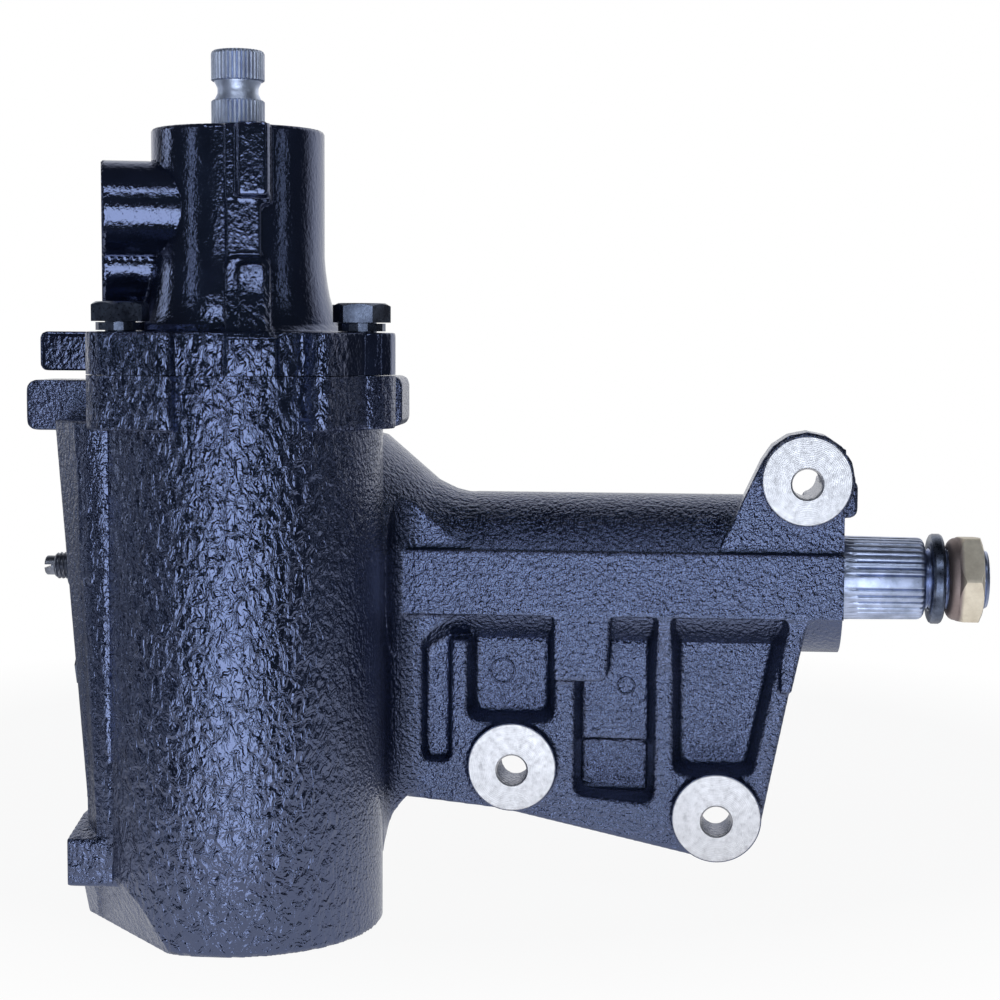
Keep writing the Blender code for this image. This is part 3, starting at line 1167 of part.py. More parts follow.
def return_guide_clamp():
    """The strap across the guide tube, with a foot at each end on the piston."""
    (u_a, v_a), (u_b, v_b) = clamp_screw_places()
    outline = around([(u_a, v_a, 0.0034), (u_b, v_b, 0.0034)])
    strap = prism("return_guide_clamp", "Y", outline, STRAP_Y, STRAP_Y + STRAP_T)
    feet = [rod("foot", "Y", place, 0.0032, STRAP_Y + 0.5 * STRAP_T, GUIDE_RECESS_Y - SEAT_GAP, ROUND_TINY)
            for place in clamp_screw_places()]
    join(strap, *feet)
    holes = [rod("hole", "Y", place, 0.0016, -0.05, -0.0200, ROUND_TINY) for place in clamp_screw_places()]
    return cut(strap, *holes)


def clamp_screw(index, place):
    """A small screw through the clamp's foot into the piston."""
    seat = STRAP_Y - SEAT_GAP
    profile = [(seat - CLAMP_HEAD_T, 0.0), (seat - CLAMP_HEAD_T, 0.0022), (seat, 0.0022), (seat, 0.0013),
               (GUIDE_RECESS_Y + 0.0050, 0.0013), (GUIDE_RECESS_Y + 0.0050, 0.0)]
    return lathe("clamp_screw_%d" % (index + 1), "Y", profile, ROUND_TINY, place)


# Input shaft

def input_shaft():
    """The rotor inside the sleeve, the journal, and the two splined lands above."""
    spline_low = VALVE_TOP + 0.0024
    groove_r = INPUT_SPLINE_R - INPUT_SPLINE_DEPTH
    root_r = groove_r - 0.0005
    profile = [(INPUT_LOW, 0.0), (INPUT_LOW, SLEEVE_BORE_R - RUN_GAP),
               (SLEEVE_TOP - 0.0010, SLEEVE_BORE_R - RUN_GAP),
               (SLEEVE_TOP, INPUT_JOURNAL_R), (VALVE_TOP - 0.0002, INPUT_JOURNAL_R),
               (VALVE_TOP + 0.0008, INPUT_SPLINE_R),
               (spline_low, INPUT_SPLINE_R), (spline_low + 0.0004, root_r), (INPUT_NECK_LOW - 0.0003, root_r),
               (INPUT_NECK_LOW + 0.0018, INPUT_NECK_R), (INPUT_NECK_TOP - 0.0018, INPUT_NECK_R),
               (INPUT_NECK_TOP + 0.0003, root_r), (INPUT_TOP - 0.0001, root_r), (INPUT_TOP, root_r - 0.0001),
               (INPUT_TOP, 0.0)]
    shaft = lathe("input_shaft", "Z", profile, ROUND_SMALL)
    for low, high in ((spline_low + 0.0003, INPUT_NECK_LOW), (INPUT_NECK_TOP, INPUT_TOP - 0.0002)):
        teeth = toothed_ring(INPUT_TEETH, groove_r, INPUT_SPLINE_R)
        worn = toothed_ring(INPUT_TEETH, groove_r, INPUT_SPLINE_R - 0.0005)
        join(shaft, loft("splines", "Z", [(low, teeth), (high - 0.0007, teeth), (high, worn)]))
    bar_hole = rod("bar_hole", "Z", (0.0, 0.0), BAR_R + 0.0004, INPUT_LOW - CUT_OVER, BAR_TOP + 0.0004,
                   ROUND_TINY)
    pin = rod("pin_hole", "X", (0.0, BAR_TOP - 0.0140), PIN_R + SEAT_GAP, -0.02, 0.02, ROUND_TINY)
    return cut(shaft, bar_hole, pin)


def torsion_bar():
    """The torsion bar, pinned to the worm below and to the input shaft above."""
    bar = rod("torsion_bar", "Z", (0.0, 0.0), BAR_R, BAR_LOW, BAR_TOP, ROUND_TINY)
    slack = PIN_R + SEAT_GAP
    return cut(bar, rod("low_pin", "X", (0.0, BAR_LOW + 0.0060), slack, -0.02, 0.02, ROUND_TINY),
               rod("high_pin", "X", (0.0, BAR_TOP - 0.0140), slack, -0.02, 0.02, ROUND_TINY))


# Seals and bearings in the two bores

def worm_bearing():
    """The bearing that carries the worm, as one unit."""
    return ring("worm_bearing", "Z", (0.0, 0.0), BEARING_SEAT_R + SEAT_GAP, BEARING_R,
                SPIGOT_LOW + 0.0004, VALVE_LOW + 0.0002, ROUND_SMALL, 0.0006)


def lip_seal(name, axis, centre, inner, outer, low, high):
    """An oil seal: a cup with its lip turned towards the oil."""
    wall = 0.0016
    profile = [(low, inner), (low, outer), (high, outer), (high, outer - wall), (low + wall, outer - wall),
               (high - 0.0018, inner + 0.0008), (high - 0.0018, inner)]
    return lathe(name, axis, profile, ROUND_SMALL, centre)


def snap_ring(name, axis, centre, inner, outer, low, high):
    """A retaining ring with its gap."""
    clip = ring(name, axis, centre, inner, outer, low, high)
    v_low = centre[1] - 0.0030
    outline = [(centre[0], v_low), (centre[0] + 0.04, v_low), (centre[0] + 0.04, v_low + 0.0060),
               (centre[0], v_low + 0.0060)]
    return cut(clip, prism("gap", axis, outline, low - 0.001, high + 0.001))


def small_ring_parts():
    """Bearings, seals and clips, each with its finish."""
    worm = (0.0, 0.0)
    shaft = SHAFT_R + RUN_GAP
    tube = TUBE_BORE_R - SEAT_GAP
    seal_x = TUBE_END - SEAL_BORE_LEN
    seal_r = SEAL_BORE_R - SEAT_GAP
    journal = INPUT_JOURNAL_R + RUN_GAP
    nose = NOSE_BORE_R - SEAT_GAP
    ring_z = 0.5 * (SPIGOT_LOW + VALVE_LOW)
    return [
        (ring("side_cover_bush", "X", SECTOR, shaft, SHAFT_R + 0.0035, COVER_X + 0.0014,
              COVER_HUB_END - 0.0005), "brass"),
        (ring("inner_needle_bearing", "X", SECTOR, shaft, tube, 0.0300, 0.0560), "hard_steel"),
        (ring("outer_needle_bearing", "X", SECTOR, shaft, tube, 0.1480, 0.1740), "hard_steel"),
        (lip_seal("sector_oil_seal", "X", SECTOR, shaft, seal_r, seal_x + 0.0004, seal_x + 0.0079),
         "seal_rubber"),
        (snap_ring("sector_snap_ring", "X", SECTOR, SEAL_BORE_R - 0.0024, SEAL_BORE_R + 0.0011,
                   seal_x + 0.0085, seal_x + 0.0101), "dark_steel"),
        (lip_seal("sector_dust_seal", "X", SECTOR, shaft, seal_r, seal_x + 0.0108, seal_x + 0.0196),
         "seal_rubber"),
        (round_ring("side_cover_o_ring", "X", SECTOR, CHAMBER_BORE_R - 0.0014, 0.0011, COVER_X + 0.0022),
         "seal_rubber"),
        (round_ring("valve_housing_o_ring", "Z", worm, CASE_BORE_R - 0.0015, 0.0012, ring_z), "seal_rubber"),
        (ring("input_needle_bearing", "Z", worm, journal, nose, VALVE_BORE_TOP + 0.0004, 0.2575),
         "hard_steel"),
        (lip_seal("input_oil_seal", "Z", worm, journal, nose, 0.2579, 0.2650), "seal_rubber"),
        (snap_ring("input_snap_ring", "Z", worm, NOSE_BORE_R - 0.0022, NOSE_BORE_R + 0.0011, 0.2657,
                   0.2670), "dark_steel"),
        (ring("input_dust_cover", "Z", worm, journal, nose, 0.2675, VALVE_TOP - 0.0004), "seal_rubber"),
    ]


def build():
    """Every piece, on the empty that carries it."""
    for old in list(bpy.data.objects):
        bpy.data.objects.remove(old)
    frame = axis_empty("housing_frame", (0.0, 0.0, 0.0))
    worm_axis = axis_empty("worm_axis", (0.0, 0.0, SPIGOT_LOW))
    input_axis = axis_empty("input_axis", (0.0, 0.0, INPUT_LOW))
    piston_axis = axis_empty("piston_axis", (0.0, 0.0, SECTOR_Z))
    sector_axis = axis_empty("sector_axis", (0.0, *SECTOR))

    finish_piece(gear_housing(), "black_paint", frame)
    finish_piece(valve_housing(), "black_paint", frame)
    finish_piece(side_cover(), "black_paint", frame)
    finish_piece(passage_plug(), "dark_steel", frame)
    for index, post in enumerate(BOLT_POSTS):
        finish_piece(valve_bolt(index, post), "black_oxide", frame)
        finish_piece(valve_washer(index, post), "black_oxide", frame)
    for index, place in enumerate(cover_bolt_places()):
        finish_piece(cover_bolt(index, place), "black_oxide", frame)
    finish_piece(adjuster_screw(), "dark_steel", frame)
    finish_piece(adjuster_lock_nut(), "black_oxide", frame)
    finish_piece(port_seat("pressure_port_seat", PRESSURE_PORT, PRESSURE_SOCKET_R), "brass", frame)
    finish_piece(port_seat("return_port_seat", RETURN_PORT, RETURN_SOCKET_R), "brass", frame)
    finish_piece(worm_bearing(), "hard_steel", frame)
    for piece, finish in small_ring_parts():
        finish_piece(piece, finish, frame)

    finish_piece(worm_shaft(), "hard_steel", worm_axis)
    finish_piece(torsion_bar(), "hard_steel", worm_axis)
    finish_piece(rod("worm_pin", "X", (0.0, BAR_LOW + 0.0060), PIN_R, -0.0080, 0.0080, ROUND_TINY),
                 "hard_steel", worm_axis)

    finish_piece(input_shaft(), "ground_steel", input_axis)
    finish_piece(rod("input_pin", "X", (0.0, BAR_TOP - 0.0140), PIN_R, -0.0100, 0.0100, ROUND_TINY),
                 "hard_steel", input_axis)

    finish_piece(rack_piston(), "hard_steel", piston_axis)
    finish_piece(piston_end_plug(), "dark_steel", piston_axis)
    outer = CASE_BORE_R - RUN_GAP
    groove_z = PISTON_LOW + 0.0100
    finish_piece(ring("piston_seal_ring", "Z", (0.0, 0.0), outer - 0.0023, outer,
                      groove_z - 0.0013, groove_z + 0.0013, ROUND_SMALL), "seal_plastic", piston_axis)
    finish_piece(ball_train(), "hard_steel", piston_axis)
    finish_piece(ball_return_guide(), "dark_steel", piston_axis)
    finish_piece(return_guide_clamp(), "dark_steel", piston_axis)
    for index, place in enumerate(clamp_screw_places()):
        finish_piece(clamp_screw(index, place), "dark_steel", piston_axis)

    finish_piece(sector_shaft(), "ground_steel", sector_axis)
    finish_piece(adjuster_shim(), "hard_steel", sector_axis)
    finish_piece(split_washer("pitman_lock_washer", "X", SECTOR, SHAFT_THREAD_R + 0.0004, PITMAN_WASHER_R,
                              PITMAN_WASHER_X, PITMAN_WASHER_T, 0.6), "black_oxide", sector_axis)
    finish_piece(pitman_nut(), "zinc_yellow", sector_axis)


build()
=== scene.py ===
"""Looks of the steering gearbox: castings with soft edges, machined faces, splines and threads."""

import json
import math

import bmesh
import bpy
import numpy as np
from mathutils import Matrix, Vector


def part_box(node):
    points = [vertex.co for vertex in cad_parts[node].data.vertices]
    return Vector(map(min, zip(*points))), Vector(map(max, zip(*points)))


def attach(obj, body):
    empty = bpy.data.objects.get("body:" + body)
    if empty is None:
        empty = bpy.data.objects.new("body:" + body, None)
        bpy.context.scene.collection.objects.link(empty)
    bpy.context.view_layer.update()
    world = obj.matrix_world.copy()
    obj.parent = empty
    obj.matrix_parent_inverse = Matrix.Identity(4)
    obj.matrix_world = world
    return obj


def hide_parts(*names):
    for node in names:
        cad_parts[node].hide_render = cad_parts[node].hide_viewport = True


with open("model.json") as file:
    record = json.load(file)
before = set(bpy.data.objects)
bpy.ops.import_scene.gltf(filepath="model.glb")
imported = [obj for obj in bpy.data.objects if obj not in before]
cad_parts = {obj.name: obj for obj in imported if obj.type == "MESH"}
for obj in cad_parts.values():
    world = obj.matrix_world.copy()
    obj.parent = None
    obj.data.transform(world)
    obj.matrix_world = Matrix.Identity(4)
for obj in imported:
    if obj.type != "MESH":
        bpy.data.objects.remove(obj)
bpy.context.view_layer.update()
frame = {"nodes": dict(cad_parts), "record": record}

# Axes of the worm and the sector, each as the two coordinates across it; every size is in metres
SECTOR_Y = 0.0572
SECTOR_Z = 0.1154
WORM = (0.0, 0.0)
SECTOR = (SECTOR_Y, SECTOR_Z)

# Gear housing
CASE_R = 0.0490
CASE_H = 0.1890
CHAMBER_R = 0.0505
CHAMBER_RIGHT = 0.0425
CHAMBER_TAPER = 1.1
COVER_X = -0.0480
TUBE_R = 0.0285
TUBE_SHOULDER_R = TUBE_R + 0.0045
TUBE_RISE = 0.0013
TUBE_START = 0.0760
TUBE_END = 0.2080

# Frame pads: the face, its radius, how far it sits above its hole, and the holes as (x, z)
PAD_Y = 0.02615
PAD_FRONT = PAD_Y - 0.00012
PAD_R = 0.0158
PAD_RISE = 0.0011
HOLE_R = 0.00525
FRAME_HOLES = ((0.1946, 0.1513), (0.1647, 0.0314), (0.0920, 0.0481))

# Casting marks as (x, z, radius, pocket floor), and their section as steps off the floor and the radius
MARKS = ((0.0875, 0.0816, 0.0043, 0.0400), (0.1320, 0.0768, 0.0030, 0.0410))
MARK_SECTION = ((0.0005, -0.0006), (-0.0007, -0.0002), (-0.0007, 0.0002), (0.0005, 0.0006))

# Valve housing, its flare as (rise above the flange, growth of the radius)
VALVE_LOW = 0.1893
VALVE_R = 0.02915
VALVE_TOP = 0.2707
VALVE_FLANGE_T = 0.0140
VALVE_FLARE = ((0.0010, 0.0066), (0.0024, 0.0052), (0.0050, 0.0039), (0.0078, 0.0029),
               (0.0120, 0.0017), (0.0165, 0.0009), (0.0210, 0.0003), (0.0250, 0.0))
SPIGOT_LEN = 0.0110
SPIGOT_R = 0.0392
SPIGOT_BORE_R = 0.0283
SPIGOT_GROOVE_R = SPIGOT_R - 0.0030
SPIGOT_GROOVE_HALF = 0.0014

# Ports, turned about the worm axis, as (y, z) on the turned face
PORT_TURN = math.radians(15.85)
PORT_FACE_X = -0.0458
PORT_ROOT_X = -0.0200
PRESSURE_PORT = (-0.0051, 0.2439)
PRESSURE_BOSS_R = 0.0159
RETURN_PORT = (0.0100, 0.2255)
RETURN_BOSS_R = 0.0140

# Sector shaft
SEAL_LAND_R = 0.0164
SPLINE_START = 0.2098
SPLINE_END = 0.2384
SPLINE_R = 0.0152
SPLINE_ROOT_R = SPLINE_R - 0.0011
SPLINE_CORE_R = 0.0125
SPLINE_TEETH = 36
SPLINE_MASTERS = 4
SPLINE_FLANK = 0.19
SPLINE_CREST = (0.36, 0.64)
THREAD_R = 0.0110
THREAD_DEPTH = 0.0009
THREAD_PITCH = 0.0015
SHAFT_END = 0.2610

# Nut, its cone as (rise, radius), and washer
NUT_AF = 0.0300
NUT_SPIN = math.radians(-3.3)
NUT_LOW = 0.2466
NUT_H = 0.0122
NUT_HOLE_R = THREAD_R + 0.0002
NUT_CONE = ((0.0, 0.0118), (0.0005, 0.0132), (0.0012, 0.0141), (0.0022, 0.0147), (0.0034, 0.01495))
NUT_CONE_SLOPE = 0.95
NUT_CORNER_R = 0.0146
NUT_CORNER_SLOPE = 0.62
NUT_FACE_R = 0.0140
WASHER_LOW = 0.2403
WASHER_T = 0.0048
WASHER_R = 0.0163
WASHER_BORE_R = THREAD_R + 0.0004
WASHER_GAP = 0.0020
WASHER_GAP_ANGLE = 0.6

# Input shaft
INPUT_R = 0.0090
INPUT_ROOT_R = INPUT_R - 0.0009
INPUT_SEAT_R = 0.0109
INPUT_TEETH = 36
INPUT_FLANK = 0.24
INPUT_LAND_LOW = VALVE_TOP + 0.0024
INPUT_NECK_LOW = 0.2810
INPUT_NECK_TOP = 0.2873
INPUT_NECK_R = 0.0069
INPUT_TOP = 0.2976

# Housing bolts and adjuster
BOLT_AF = 0.0168
BOLT_HEAD_H = 0.0064
BOLT_SHANK_R = 0.0050
HEAD_FACE_SHARE = 0.468
HEAD_CORNER_SLOPE = math.tan(math.radians(30.0))
ADJUSTER_R = 0.0050
ADJUSTER_THREAD_DEPTH = 0.0007
ADJUSTER_THREAD_END = -0.0685
ADJUSTER_CUT = -0.0690
ADJUSTER_POINT_LEN = 0.0042
ADJUSTER_POINT_R = 0.0036
ADJUSTER_SLOT = 0.0012
ADJUSTER_SLOT_DEPTH = 0.0026

# Points in a ring
RING_COUNT = 96
HEX_COUNT = 144
THREAD_COUNT = 48

# Skins of the castings
VOXEL = 0.0007
SOFTEN_STEPS = 4
SNAP_REACH = 0.00045
EDGE_REACH = 0.00075
OVERRUN = 0.0040
TOUCH = 0.00001
CUT_ABOVE = 1.0
CUT_BELOW = -1.0

# Camera of the photograph, its sensor's width in millimetres
CAMERA_PLACE = (0.14924, -0.69322, 0.20446)
CAMERA_YAW = math.radians(4.92)
CAMERA_PITCH = math.radians(4.74)
CAMERA_ROLL = math.radians(0.31)
FOCAL_PER_WIDTH = 2.05617
SENSOR_WIDTH = 36.0

# Painted castings: lump and grain height, roughness range, and the Y between which lumps give way to grain
CASTINGS = {
    "black_cast": (0.0014, 0.00080, 0.07, 0.14, -0.040, -0.012),
    "smooth_cast": (0.0011, 0.00012, 0.08, 0.16, -0.036, -0.0315),
}
PAINT_TINT = (0.50, 0.60, 1.0, 1.0)
PAINT_TONES = ((0.30, (0.0030, 0.0042, 0.0095)), (0.55, (0.0050, 0.0070, 0.0155)),
               (0.78, (0.0085, 0.0120, 0.0260)))
LUMP_STRETCH = (1.0, 1.0, 0.60)
LUMP_SHARES = (1.0, 0.14)
GRAIN_SHARES = (0.22, 1.0)

# Metals: darkest and lightest colour, roughness, grain per metre and grain height
METALS = {
    "black_steel": ((0.045, 0.055, 0.085), (0.15, 0.18, 0.26), 0.30, 1100.0, 0.00004),
    "ground_steel": ((0.30, 0.35, 0.49), (0.52, 0.59, 0.80), 0.34, 1500.0, 0.00003),
    # The input shaft's steel is a lighter copy of the ground steel: its extra brightness is painted light
    # for the lamps' shine on its neck
    "input_steel_painted_light": ((0.50, 0.56, 0.74), (0.74, 0.82, 1.0), 0.44, 1500.0, 0.00003),
    "dark_steel": ((0.13, 0.135, 0.16), (0.33, 0.35, 0.42), 0.38, 1000.0, 0.00004),
    "hard_steel": ((0.36, 0.36, 0.39), (0.50, 0.50, 0.54), 0.24, 900.0, 0.00003),
    "zinc_yellow": ((0.68, 0.61, 0.50), (0.84, 0.77, 0.65), 0.56, 1300.0, 0.00002),
    "brass": ((0.55, 0.40, 0.17), (0.74, 0.58, 0.30), 0.30, 900.0, 0.00003),
}
NUT_CONE_COLOUR = (0.30, 0.245, 0.24, 1.0)
NUT_CONE_FADE = (NUT_LOW + 0.0040, NUT_LOW + 0.0052)
FACED_TONES = ((0.30, (0.52, 0.52, 0.55)), (0.44, (0.62, 0.62, 0.65)), (0.62, (0.68, 0.68, 0.71)))
FACED_MARK_PITCH = 0.00062

# Rubber and plastic: darkest and lightest colour, and roughness
DULLS = {
    "seal_rubber": ((0.012, 0.012, 0.014), (0.028, 0.028, 0.031), 0.62),
    "seal_plastic": ((0.24, 0.19, 0.12), (0.34, 0.28, 0.19), 0.45),
}

# The colour sockets of a mix node
MIX_FIRST = 6
MIX_SECOND = 7
MIX_RESULT = 2

# Lamps: name, place, the point that they face, width, height and watts
LAMP_COLOUR = (0.86, 0.92, 1.0)
LAMPS = (
    ("front_low", (0.09, -1.20, -0.19), (0.08, 0.0, 0.10), 0.94, 0.84, 8.2),
    ("front_high", (0.12, -1.00, 1.10), (0.06, 0.0, 0.13), 1.50, 0.25, 3.6),
    ("left", (-1.05, 0.10, 0.25), (0.0, 0.0, 0.15), 0.16, 1.10, 1.1),
    ("left_front", (-0.95, -0.75, 0.30), (0.0, 0.0, 0.15), 0.10, 1.00, 0.5),
    ("right", (1.20, -0.40, 0.40), (0.05, 0.0, 0.15), 0.12, 0.90, 0.3),
)

# Floor and room; the floor's whiteness goes from one share to another between two distances from a point
FLOOR_SIZE = 2.4
FLOOR_PLACE = (0.0, 1.04, -0.0002)
FLOOR_COLOUR = (0.48, 0.48, 0.50, 1.0)
FLOOR_SEEN = ((0.05, 0.25, 0.0), 0.93, 1.0, 0.27, 0.41)
FLOOR_SHINE = ((0.12, -0.03, 0.0), 0.90, 0.10, 0.20, 0.40)
ROOM_COLOUR = (0.78, 0.86, 1.0, 1.0)
ROOM_LIGHT = 0.34
ROOM_SHINE = 0.03
ROOM_BEHIND = (0.35, 0.75)
SEEN_RAYS = ("Is Camera Ray", "Is Transmission Ray")
SHINE_RAYS = ("Is Glossy Ray",)


# Meshes

def linked(name, data):
    """A new object in the scene."""
    piece = bpy.data.objects.new(name, data)
    bpy.context.scene.collection.objects.link(piece)
    return piece


def mesh_object(name, shape):
    """A scene object from a bmesh as it is."""
    mesh = bpy.data.meshes.new(name)
    shape.to_mesh(mesh)
    shape.free()
    return linked(name, mesh)


def add_object(name, shape):
    """A scene object from a bmesh, its faces turned outward."""
    bmesh.ops.recalc_face_normals(shape, faces=shape.faces)
    return mesh_object(name, shape)


def finish(piece, material, body, sharp):
    """Shading, material and body of a piece, with edges above an angle left sharp."""
    piece.data.shade_smooth()
    piece.data.set_sharp_from_angle(angle=math.radians(sharp))
    piece.data.materials.clear()
    piece.data.materials.append(material)
    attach(piece, body)


def turned(axis, centre, u, v, h):
    """A point from an outline (u, v) and a height along an axis."""
    if axis == "X":
        return (h, centre[0] + u, centre[1] + v)
    if axis == "Y":
        return (centre[0] + u, h, centre[1] + v)
    return (centre[0] + u, centre[1] + v, h)


def grid_of(shape, rows, ends="flat"):
    """Faces between rings of points with equal counts, the ends flat, open or looped to each other."""
    rings = [[shape.verts.new(p) for p in row] for row in rows]
    pairs = list(zip(rings, rings[1:]))
    if ends == "looped":
        pairs.append((rings[-1], rings[0]))
    for low, high in pairs:
        for i in range(len(low)):
            k = (i + 1) % len(low)
            shape.faces.new((low[i], low[k], high[k], high[i]))
    if ends == "flat":
        shape.faces.new(rings[0])
        shape.faces.new(rings[-1][::-1])


def solid(name, rows, ends="flat"):
    """A scene object from rings of points."""
    shape = bmesh.new()
    grid_of(shape, rows, ends)
    return add_object(name, shape)


def ring_points(axis, centre, radius_at, height_at, count):
    """A ring of points whose radius changes with the angle, and whose height changes with the radius."""
    points = []
    for i in range(count):
        a = 2.0 * math.pi * i / count
        radius = radius_at(a)
        points.append(turned(axis, centre, radius * math.cos(a), radius * math.sin(a), height_at(radius)))
    return points


def plain_ring(axis, centre, radius, height, count):
    """A ring of points with one radius at one height."""
    return ring_points(axis, centre, lambda a: radius, lambda r: height, count)


def lathe(name, axis, centre, profile, count=RING_COUNT, ends="flat"):
    """A turned solid from points (height, radius)."""
    return solid(name, [plain_ring(axis, centre, r, h, count) for h, r in profile], ends)


def open_ring(name, axis, centre, profile, start, sweep, count):
    """A turned section of points (height, radius), swept part of the way round and closed at both ends."""
    rows = []
    for i in range(count + 1):
        a = start + sweep * i / count
        rows.append([turned(axis, centre, r * math.cos(a), r * math.sin(a), h) for h, r in profile])
    return solid(name, rows)


def hex_radius(across_flats, spin):
    """Radius of a hexagon's side as a function of the angle."""
    def radius(angle):
        off = math.remainder(angle - spin - math.pi / 6.0, math.pi / 3.0)
        return 0.5 * across_flats / math.cos(off)
    return radius


def hexagon(name, axis, centre, across_flats, low, high, spin):
    """A hexagon head with turned-off corners, its edges following the real arcs."""
    side = hex_radius(across_flats, spin)
    face_r = HEAD_FACE_SHARE * across_flats

    def corner_height(radius):
        return high - max(0.0, radius - face_r) * HEAD_CORNER_SLOPE

    rows = [ring_points(axis, centre, side, lambda r: low, HEX_COUNT),
            ring_points(axis, centre, side, corner_height, HEX_COUNT),
            plain_ring(axis, centre, face_r, high, HEX_COUNT)]
    return solid(name, rows)


def thread(name, axis, centre, crest_r, depth, low, high, lead_in):
    """A screw thread as one skin, its crests running out at both ends."""
    rings_per_pitch = 6
    flank_slope = 1.35
    crest_share = 0.2
    steps = int(math.ceil((high - low) / THREAD_PITCH * rings_per_pitch))

    def radius_at(angle, height):
        phase = (height - low) / THREAD_PITCH - angle / (2.0 * math.pi)
        wave = abs(2.0 * (phase - math.floor(phase + 0.5)))
        groove = depth * min(1.0, max(0.0, flank_slope * wave - crest_share))
        edge = min(height - low, high - height)
        if edge < lead_in:
            groove = max(groove, depth * (1.0 - edge / lead_in))
        return crest_r - groove

    rows = []
    for k in range(steps + 1):
        h = low + (high - low) * k / steps
        ring = ring_points(axis, centre, lambda a, h=h: radius_at(a, h), lambda r, h=h: h, THREAD_COUNT)
        rows.append(ring)
    return solid(name, rows)


def splines(name, axis, centre, teeth, root_r, tip_r, stations, flank, masters=0):
    """Straight serrations through stations (height, share of the depth, loss of radius).

    Each tooth's pitch starts at the groove's bottom, and a master is a tooth whose groove is filled.
    """
    pitch = 2.0 * math.pi / teeth
    marks = ((0.0, 1.0), (flank, 0.0), (SPLINE_CREST[0], 0.0), (SPLINE_CREST[1], 0.0), (1.0 - flank, 0.0))
    rows = []
    for h, share, lost in stations:
        ring = []
        for t in range(teeth):
            for at, deep in marks:
                filled = masters and deep and t % (teeth // masters) == 0
                radius = tip_r - lost - (0.0 if filled else (tip_r - root_r) * deep * share)
                a = pitch * (t + at)
                ring.append(turned(axis, centre, radius * math.cos(a), radius * math.sin(a), h))
        rows.append(ring)
    return solid(name, rows)


def joined(name, pieces):
    """Several meshes as one object."""
    shape = bmesh.new()
    for piece in pieces:
        shape.from_mesh(piece.data)
        bpy.data.objects.remove(piece)
    return mesh_object(name, shape)


def cut(shape, axis, level, side):
    """Cut a bmesh off above or below a plane across an axis, and give the edges of its open rim."""
    index = "XYZ".index(axis)
    place = [0.0, 0.0, 0.0]
    place[index] = level
    normal = [0.0, 0.0, 0.0]
    normal[index] = side
    everything = shape.verts[:] + shape.edges[:] + shape.faces[:]
    bmesh.ops.bisect_plane(shape, geom=everything, plane_co=place, plane_no=normal, clear_outer=True)
    return [e for e in shape.edges if e.is_boundary]


def cad_part(name, node, axis, limit, side):
    """What a cut leaves of a CAD node, as a new closed object."""
    shape = bmesh.new()
    shape.from_mesh(frame["nodes"][node].data)
    bmesh.ops.edgeloop_fill(shape, edges=cut(shape, axis, limit, side))
    return add_object(name, shape)


# Materials

def new_material(name, **sockets):
    """A Principled material with constant values set on the shader's own sockets."""
    material = bpy.data.materials.new(name)
    material.use_nodes = True
    shader = material.node_tree.nodes["Principled BSDF"]
    for socket, value in sockets.items():
        shader.inputs[socket.replace("_", " ")].default_value = value
    return material, material.node_tree, shader


def add(tree, kind, **settings):
    """A node with some of its settings made."""
    node = tree.nodes.new(kind)
    for key, value in settings.items():
        setattr(node, key, value)
    return node


def combined(tree, operation, first, second):
    """Two values of a node tree, or a value and a number, put together by one operation."""
    node = add(tree, "ShaderNodeMath", operation=operation)
    for socket, value in zip(node.inputs, (first, second)):
        if isinstance(value, float):
            socket.default_value = value
        else:
            tree.links.new(value, socket)
    return node.outputs["Value"]


def parts_of(tree, vector):
    """The X, Y and Z of a vector."""
    node = tree.nodes.new("ShaderNodeSeparateXYZ")
    tree.links.new(vector, node.inputs["Vector"])
    return node.outputs


def noise(tree, place, scale, detail=4.0, roughness=0.55, distortion=0.0):
    """A noise pattern whose scale is counted in patches per metre."""
    node = tree.nodes.new("ShaderNodeTexNoise")
    node.inputs["Scale"].default_value = scale
    node.inputs["Detail"].default_value = detail
    node.inputs["Roughness"].default_value = roughness
    node.inputs["Distortion"].default_value = distortion
    tree.links.new(place, node.inputs["Vector"])
    return node.outputs["Fac"]


def ramp(tree, source, stops):
    """A colour ramp from (position, colour) stops."""
    node = tree.nodes.new("ShaderNodeValToRGB")
    while len(node.color_ramp.elements) < len(stops):
        node.color_ramp.elements.new(0.5)
    for element, (position, colour) in zip(node.color_ramp.elements, stops):
        element.position = position
        element.color = (*colour, 1.0)
    tree.links.new(source, node.inputs["Fac"])
    return node.outputs["Color"]


def spread(tree, source, low, high, from_low=0.3, from_high=0.7):
    """A pattern remapped to a range."""
    node = tree.nodes.new("ShaderNodeMapRange")
    node.inputs["From Min"].default_value = from_low
    node.inputs["From Max"].default_value = from_high
    node.inputs["To Min"].default_value = low
    node.inputs["To Max"].default_value = high
    tree.links.new(source, node.inputs["Value"])
    return node.outputs["Result"]


def bump(tree, height, distance, strength=1.0, under=None):
    """A bump of a real height in metres, on top of another one if it is given."""
    node = tree.nodes.new("ShaderNodeBump")
    node.inputs["Distance"].default_value = distance
    node.inputs["Strength"].default_value = strength
    tree.links.new(height, node.inputs["Height"])
    if under is not None:
        tree.links.new(under, node.inputs["Normal"])
    return node.outputs["Normal"]


def object_place(tree):
    """The place of a point in its object's own coordinates."""
    return tree.nodes.new("ShaderNodeTexCoord").outputs["Object"]


